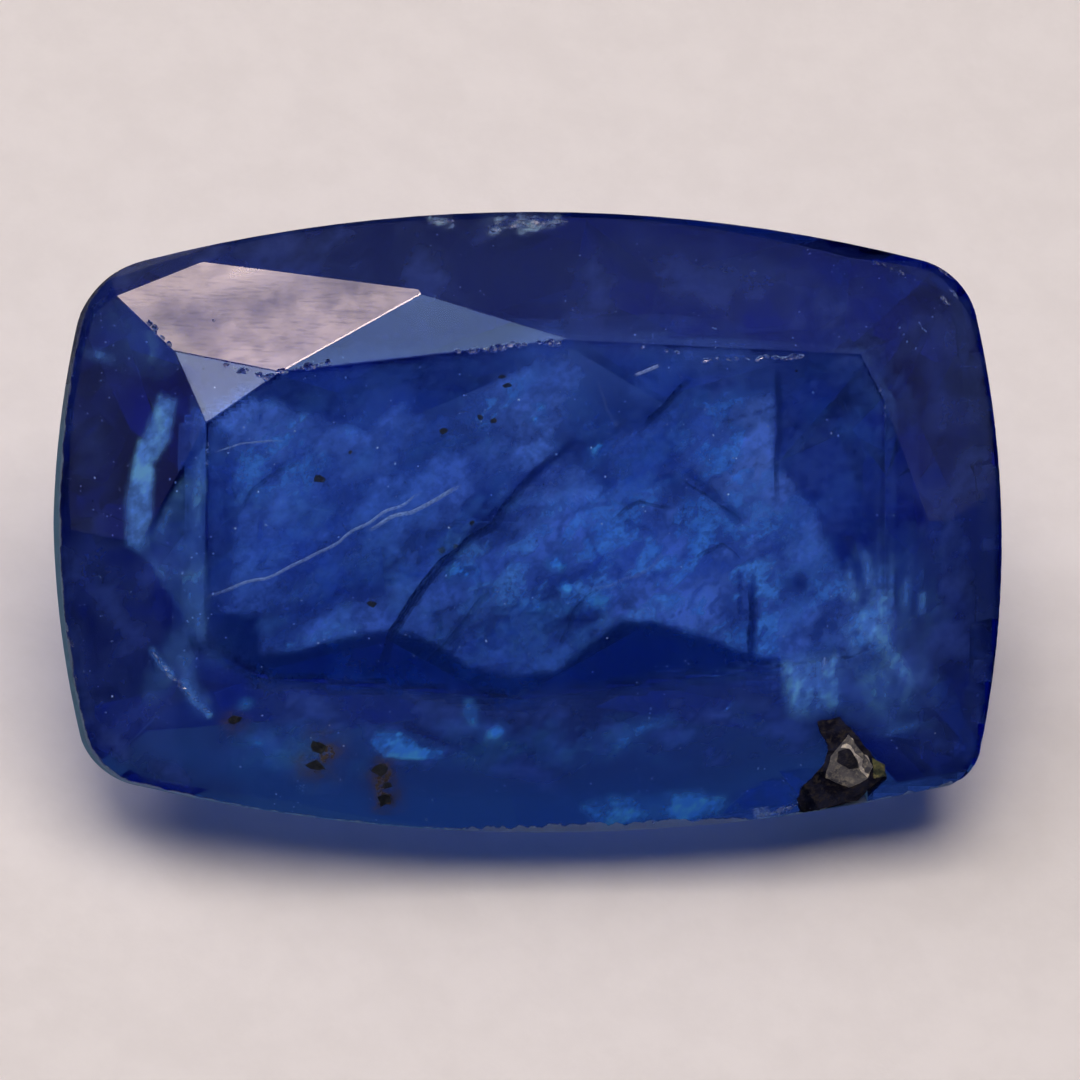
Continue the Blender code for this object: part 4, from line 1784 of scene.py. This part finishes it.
@dataclass
class BrokenPit:
    """The grain of host rock in the broken pit and the crust round it."""

    cut: CuttingFrame
    sight: Sight

    crust: tuple[Pixel, ...] = (
        (817, 722), (840, 717), (852, 731), (875, 758), (885, 776), (872, 786), (858, 801), (802, 812),
        (797, 799), (804, 784), (822, 767), (829, 750),
    )
    grain: tuple[Pixel, ...] = (
        (848, 735), (831, 757), (825, 778), (849, 788), (867, 779), (873, 766),
    )
    # The rim: the grain's apex and right side, its grey-gold painted paler where the light falls.
    rim: tuple[Pixel, ...] = (
        (848, 734), (856, 744), (868, 757), (873, 767), (867, 778), (860, 771), (857, 759), (849, 748),
        (841, 748),
    )
    # The hollow: a near-black patch painted as the shade in the grain's hollow.
    hollow: tuple[Pixel, ...] = (
        (838, 752), (848, 748), (856, 758), (858, 768), (849, 769), (837, 762),
    )
    edge: tuple[Pixel, ...] = (
        (873, 758), (884, 764), (886, 776), (874, 779),
    )

    def build(self) -> list[bpy.types.Object]:
        """Make the crust with painted pit shade, the grain with a painted lit rim and shaded hollow, and the green
        edge.

        Returns:
            The new pieces.
        """
        # Partly painted shade: the crust's near-black also stands in for the shade in the broken pit round the grain.
        dull = RockFinish(
            self.cut,
            "dark crust and pit shade",
            (0.009, 0.010, 0.024, 1), (0.003, 0.003, 0.009, 1), (0.024, 0.020, 0.020, 1),
            metal=0.0,
            rough=0.6,
            gloss=0.08,
        )
        grey = RockFinish(
            self.cut,
            "grey host rock",
            (0.12, 0.114, 0.122, 1), (0.05, 0.05, 0.065, 1), (0.25, 0.225, 0.19, 1),
            gloss=0.2,
        )
        # Painted light: a paler copy of the host rock for the grain's lit apex and right side.
        pale = RockFinish(
            self.cut,
            "lit grey-gold host rock",
            (0.50, 0.45, 0.41, 1), (0.23, 0.21, 0.21, 1), (0.66, 0.58, 0.46, 1),
            gloss=0.2,
        )
        # Painted shade: the near-black of the grain's hollow.
        black = RockFinish(
            self.cut,
            "painted hollow shade",
            (0.020, 0.020, 0.034, 1), (0.008, 0.008, 0.014, 1), (0.05, 0.045, 0.045, 1),
            gloss=0.1,
        )
        green = RockFinish(
            self.cut,
            "green crust",
            (0.05, 0.055, 0.025, 1), (0.012, 0.016, 0.016, 1), (0.13, 0.11, 0.05, 1),
            metal=0.0,
            rough=0.5,
            gloss=0.2,
        )
        base = RockGrain("host_rock_crust", self.crust, 0.015, 0.3, dull, roughen=0.03).build(self.sight)
        middle = RockGrain("host_rock_grain", self.grain, 0.03, 0.2, grey).build(self.sight, base)
        rim = RockGrain("host_rock_lit_rim", self.rim, 0.012, 0.04, pale, roughen=0.014)
        hollow = RockGrain("painted_hollow_shade", self.hollow, 0.008, 0.04, black, roughen=0.012)
        edge = RockGrain("host_rock_edge", self.edge, 0.02, 0.1, green)
        top = [rim.build(self.sight, middle), hollow.build(self.sight, middle)]
        return [base, middle, *top, edge.build(self.sight, base)]


class Reach(Enum):
    """What a lamp's light reaches."""

    ALL = "everything"
    MIRRORED = "only what mirrors it"
    ROUND_THE_STONE = "only the floor and the host rock"
    THROUGH_THE_STONE = "only the floor and the host rock, as if the crystal let it through"
    IN_THE_STONE = "only what is in the crystal or in its broken pit"


@dataclass(frozen=True)
class Lamp:
    """A flat soft light that stands in a direction from the stone and faces it."""

    name: str
    direction: tuple[float, float, float]
    distance: float
    size: tuple[float, float]
    radiance: float
    colour: tuple[float, float, float]
    reach: Reach = Reach.ALL

    def add(self, target: Vector, dull: bpy.types.Collection, sealed: bpy.types.Collection) -> None:
        """Make the light.

        Args:
            target: The point that it faces.
            dull: The floor and the host rock.
            sealed: Everything in the crystal, and the host rock.
        """
        data = bpy.data.lights.new(self.name, "AREA")
        data.shape = "RECTANGLE"
        data.size, data.size_y = self.size
        data.energy = self.radiance * math.pi * self.size[0] * self.size[1]
        data.color = self.colour
        lamp = bpy.data.objects.new(self.name, data)
        bpy.context.scene.collection.objects.link(lamp)
        toward = Vector(self.direction).normalized()
        lamp.location = target + toward * self.distance
        lamp.rotation_mode = "QUATERNION"
        lamp.rotation_quaternion = toward.to_track_quat("Z", "Y")
        if self.reach is Reach.MIRRORED:
            lamp.visible_diffuse = lamp.visible_transmission = False
        elif self.reach is Reach.ROUND_THE_STONE:
            lamp.light_linking.receiver_collection = dull
        elif self.reach is Reach.THROUGH_THE_STONE:
            lamp.light_linking.receiver_collection = dull
            lamp.light_linking.blocker_collection = dull
        elif self.reach is Reach.IN_THE_STONE:
            lamp.light_linking.receiver_collection = sealed
            lamp.light_linking.blocker_collection = dull
            lamp.visible_transmission = lamp.visible_glossy = False
            data.cycles.use_multiple_importance_sampling = False


@dataclass
class Studio:
    """The pale floor, the room that glows through the stone and the soft lights."""

    camera: PhotoCamera
    room: Colour = (0.86, 0.90, 1.0, 1.0)
    room_strength: float = 0.42
    room_behind: float = 0.62
    room_fade: tuple[float, float] = (0.2, 0.6)
    floor_half: float = 1.6
    lamps: tuple[Lamp, ...] = (
        Lamp("key", (-0.09, 0.372, 0.928), 0.4, (0.10, 0.10), 18.0, (1.0, 0.762, 0.66), Reach.MIRRORED),
        Lamp("cool card", (-0.259, -0.165, 0.952), 0.4, (0.07, 0.07), 4.6, (0.56, 0.64, 0.87), Reach.MIRRORED),
        Lamp("cool strip", (0.057, 0.17, 0.981), 0.4, (0.05, 0.05), 2.2, (0.40, 0.60, 0.84), Reach.MIRRORED),
        Lamp("soft box", (-0.52, 0.40, 0.755), 0.4, (0.23, 0.23), 3.0, (0.97, 0.94, 1.0)),
        Lamp("fill", (-0.02, 0.06, 0.99), 0.4, (0.36, 0.28), 4.6, (1.0, 0.915, 0.82), Reach.ROUND_THE_STONE),
        Lamp("glow", (-0.02, -0.10, 0.99), 0.4, (0.40, 0.28), 0.42, (0.14, 0.24, 1.0), Reach.THROUGH_THE_STONE),
        Lamp(
            "panel over the table",
            (0, -0.588, 0.809),
            0.0017,
            (0.014, 0.009),
            0.67,
            (1.0, 0.96, 0.95),
            Reach.IN_THE_STONE,
        ),
        Lamp("dim ceiling", (0.0, 0.45, 0.893), 0.9, (8.4, 2.4), 0.115, (0.82, 0.86, 1.0), Reach.MIRRORED),
    )

    def build(self, rock: Iterable[bpy.types.Object], sealed: Iterable[bpy.types.Object]) -> bpy.types.Object:
        """Make the world, the lights and the floor.

        Args:
            rock: The pieces of host rock, which the lamps for the floor and for the inclusions light too.
            sealed: The pieces in the crystal, which have a lamp of their own.

        Returns:
            The floor.
        """
        self.light_room()
        floor = self.lay_floor()
        dull = self.collected("dull", (floor, *rock))
        clouds = self.collected("sealed", (*sealed, *rock))
        for lamp in self.lamps:
            lamp.add(self.camera.target, dull, clouds)
        return floor

    def collected(self, name: str, things: Iterable[bpy.types.Object]) -> bpy.types.Collection:
        """A named collection of things, for lamps that light only some of them.

        Args:
            name: The collection's name.
            things: What it holds.

        Returns:
            The new collection.
        """
        group = bpy.data.collections.new(name)
        for thing in things:
            group.objects.link(thing)
        return group

    def light_room(self) -> None:
        """Make the room that shows through the stone, darker behind it."""
        world = bpy.data.worlds.new("room")
        bpy.context.scene.world = world
        world.use_nodes = True
        background = world.node_tree.nodes["Background"]
        background.inputs["Color"].default_value = self.room
        background.inputs["Strength"].default_value = self.room_strength
        links, nodes = world.node_tree.links, world.node_tree.nodes
        apart = nodes.new("ShaderNodeSeparateXYZ")
        fade = nodes.new("ShaderNodeMapRange")
        dimmer = nodes.new("ShaderNodeVectorMath")
        dimmer.operation = "SCALE"
        dimmer.inputs[0].default_value = self.room[:3]
        fade.inputs["From Min"].default_value, fade.inputs["From Max"].default_value = self.room_fade
        fade.inputs["To Min"].default_value, fade.inputs["To Max"].default_value = 1.0, self.room_behind
        links.new(nodes.new("ShaderNodeTexCoord").outputs["Generated"], apart.inputs[0])
        links.new(apart.outputs["Y"], fade.inputs["Value"])
        links.new(fade.outputs["Result"], dimmer.inputs["Scale"])
        links.new(dimmer.outputs["Vector"], background.inputs["Color"])
        world.cycles_visibility.diffuse = False
        world.cycles_visibility.glossy = False
        world.cycles.sampling_method = "NONE"

    def lay_floor(self) -> bpy.types.Object:
        """Make the floor, which no facet mirrors.

        Returns:
            The floor.
        """
        bm = bmesh.new()
        bmesh.ops.create_grid(bm, x_segments=8, y_segments=8, size=self.floor_half)
        floor = bpy.data.objects.new("floor", mesh_of("floor", bm))
        floor.data.materials.append(self.paper())
        bpy.context.scene.collection.objects.link(floor)
        floor.visible_glossy = False
        return floor

    def paper(self) -> bpy.types.Material:
        """Pale, slightly pink paper with a fine grain.

        Returns:
            The new material.
        """
        b = Bench("paper", self.camera.cut)
        tone = b.span(b.noise(1.4, 4, 0.6), 0.3, 0.7)
        colour = b.blend(tone, (0.72, 0.68, 0.66, 1), (0.75, 0.71, 0.69, 1))
        bump = b.add("Bump", {"Height": b.noise(7.0, 4, 0.6), "Strength": 0.5, "Distance": 0.01 * MM})
        feeds = {"Base Color": colour, "Roughness": 0.9, "Normal": bump.outputs[0]}
        return b.finish(b.add("BsdfPrincipled", feeds).outputs[0])


def main() -> None:
    """Build the stone, what is in it, the studio and the camera."""
    logging.basicConfig(level=logging.INFO, format="%(name)s: %(message)s")
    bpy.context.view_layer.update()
    cut = CuttingFrame()
    camera = PhotoCamera(cut)
    camera.add()
    solid = bmesh.new()
    solid.from_mesh(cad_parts["tanzanite"].data)
    bmesh.ops.remove_doubles(solid, verts=solid.verts, dist=SAME_POINT)
    sight = Sight(camera, solid)
    pieces = [Stone(cut, sight, CrystalFinish(cut)).build()]
    sealed = Interior(cut, sight).build()
    rock = BrokenPit(cut, sight).build()
    pieces += sealed + rock
    solid.free()
    for piece in pieces:
        LOG.info("%s: %d faces", piece.name, len(piece.data.polygons))
    Studio(camera).build(rock, sealed)
    bpy.context.scene.view_settings.view_transform = "Standard"
    cycles = bpy.context.scene.cycles
    cycles.max_bounces, cycles.diffuse_bounces, cycles.glossy_bounces = 12, 3, 8
    cycles.transparent_max_bounces = 14
    cycles.use_light_tree = False


if __name__ == "__main__":
    main()
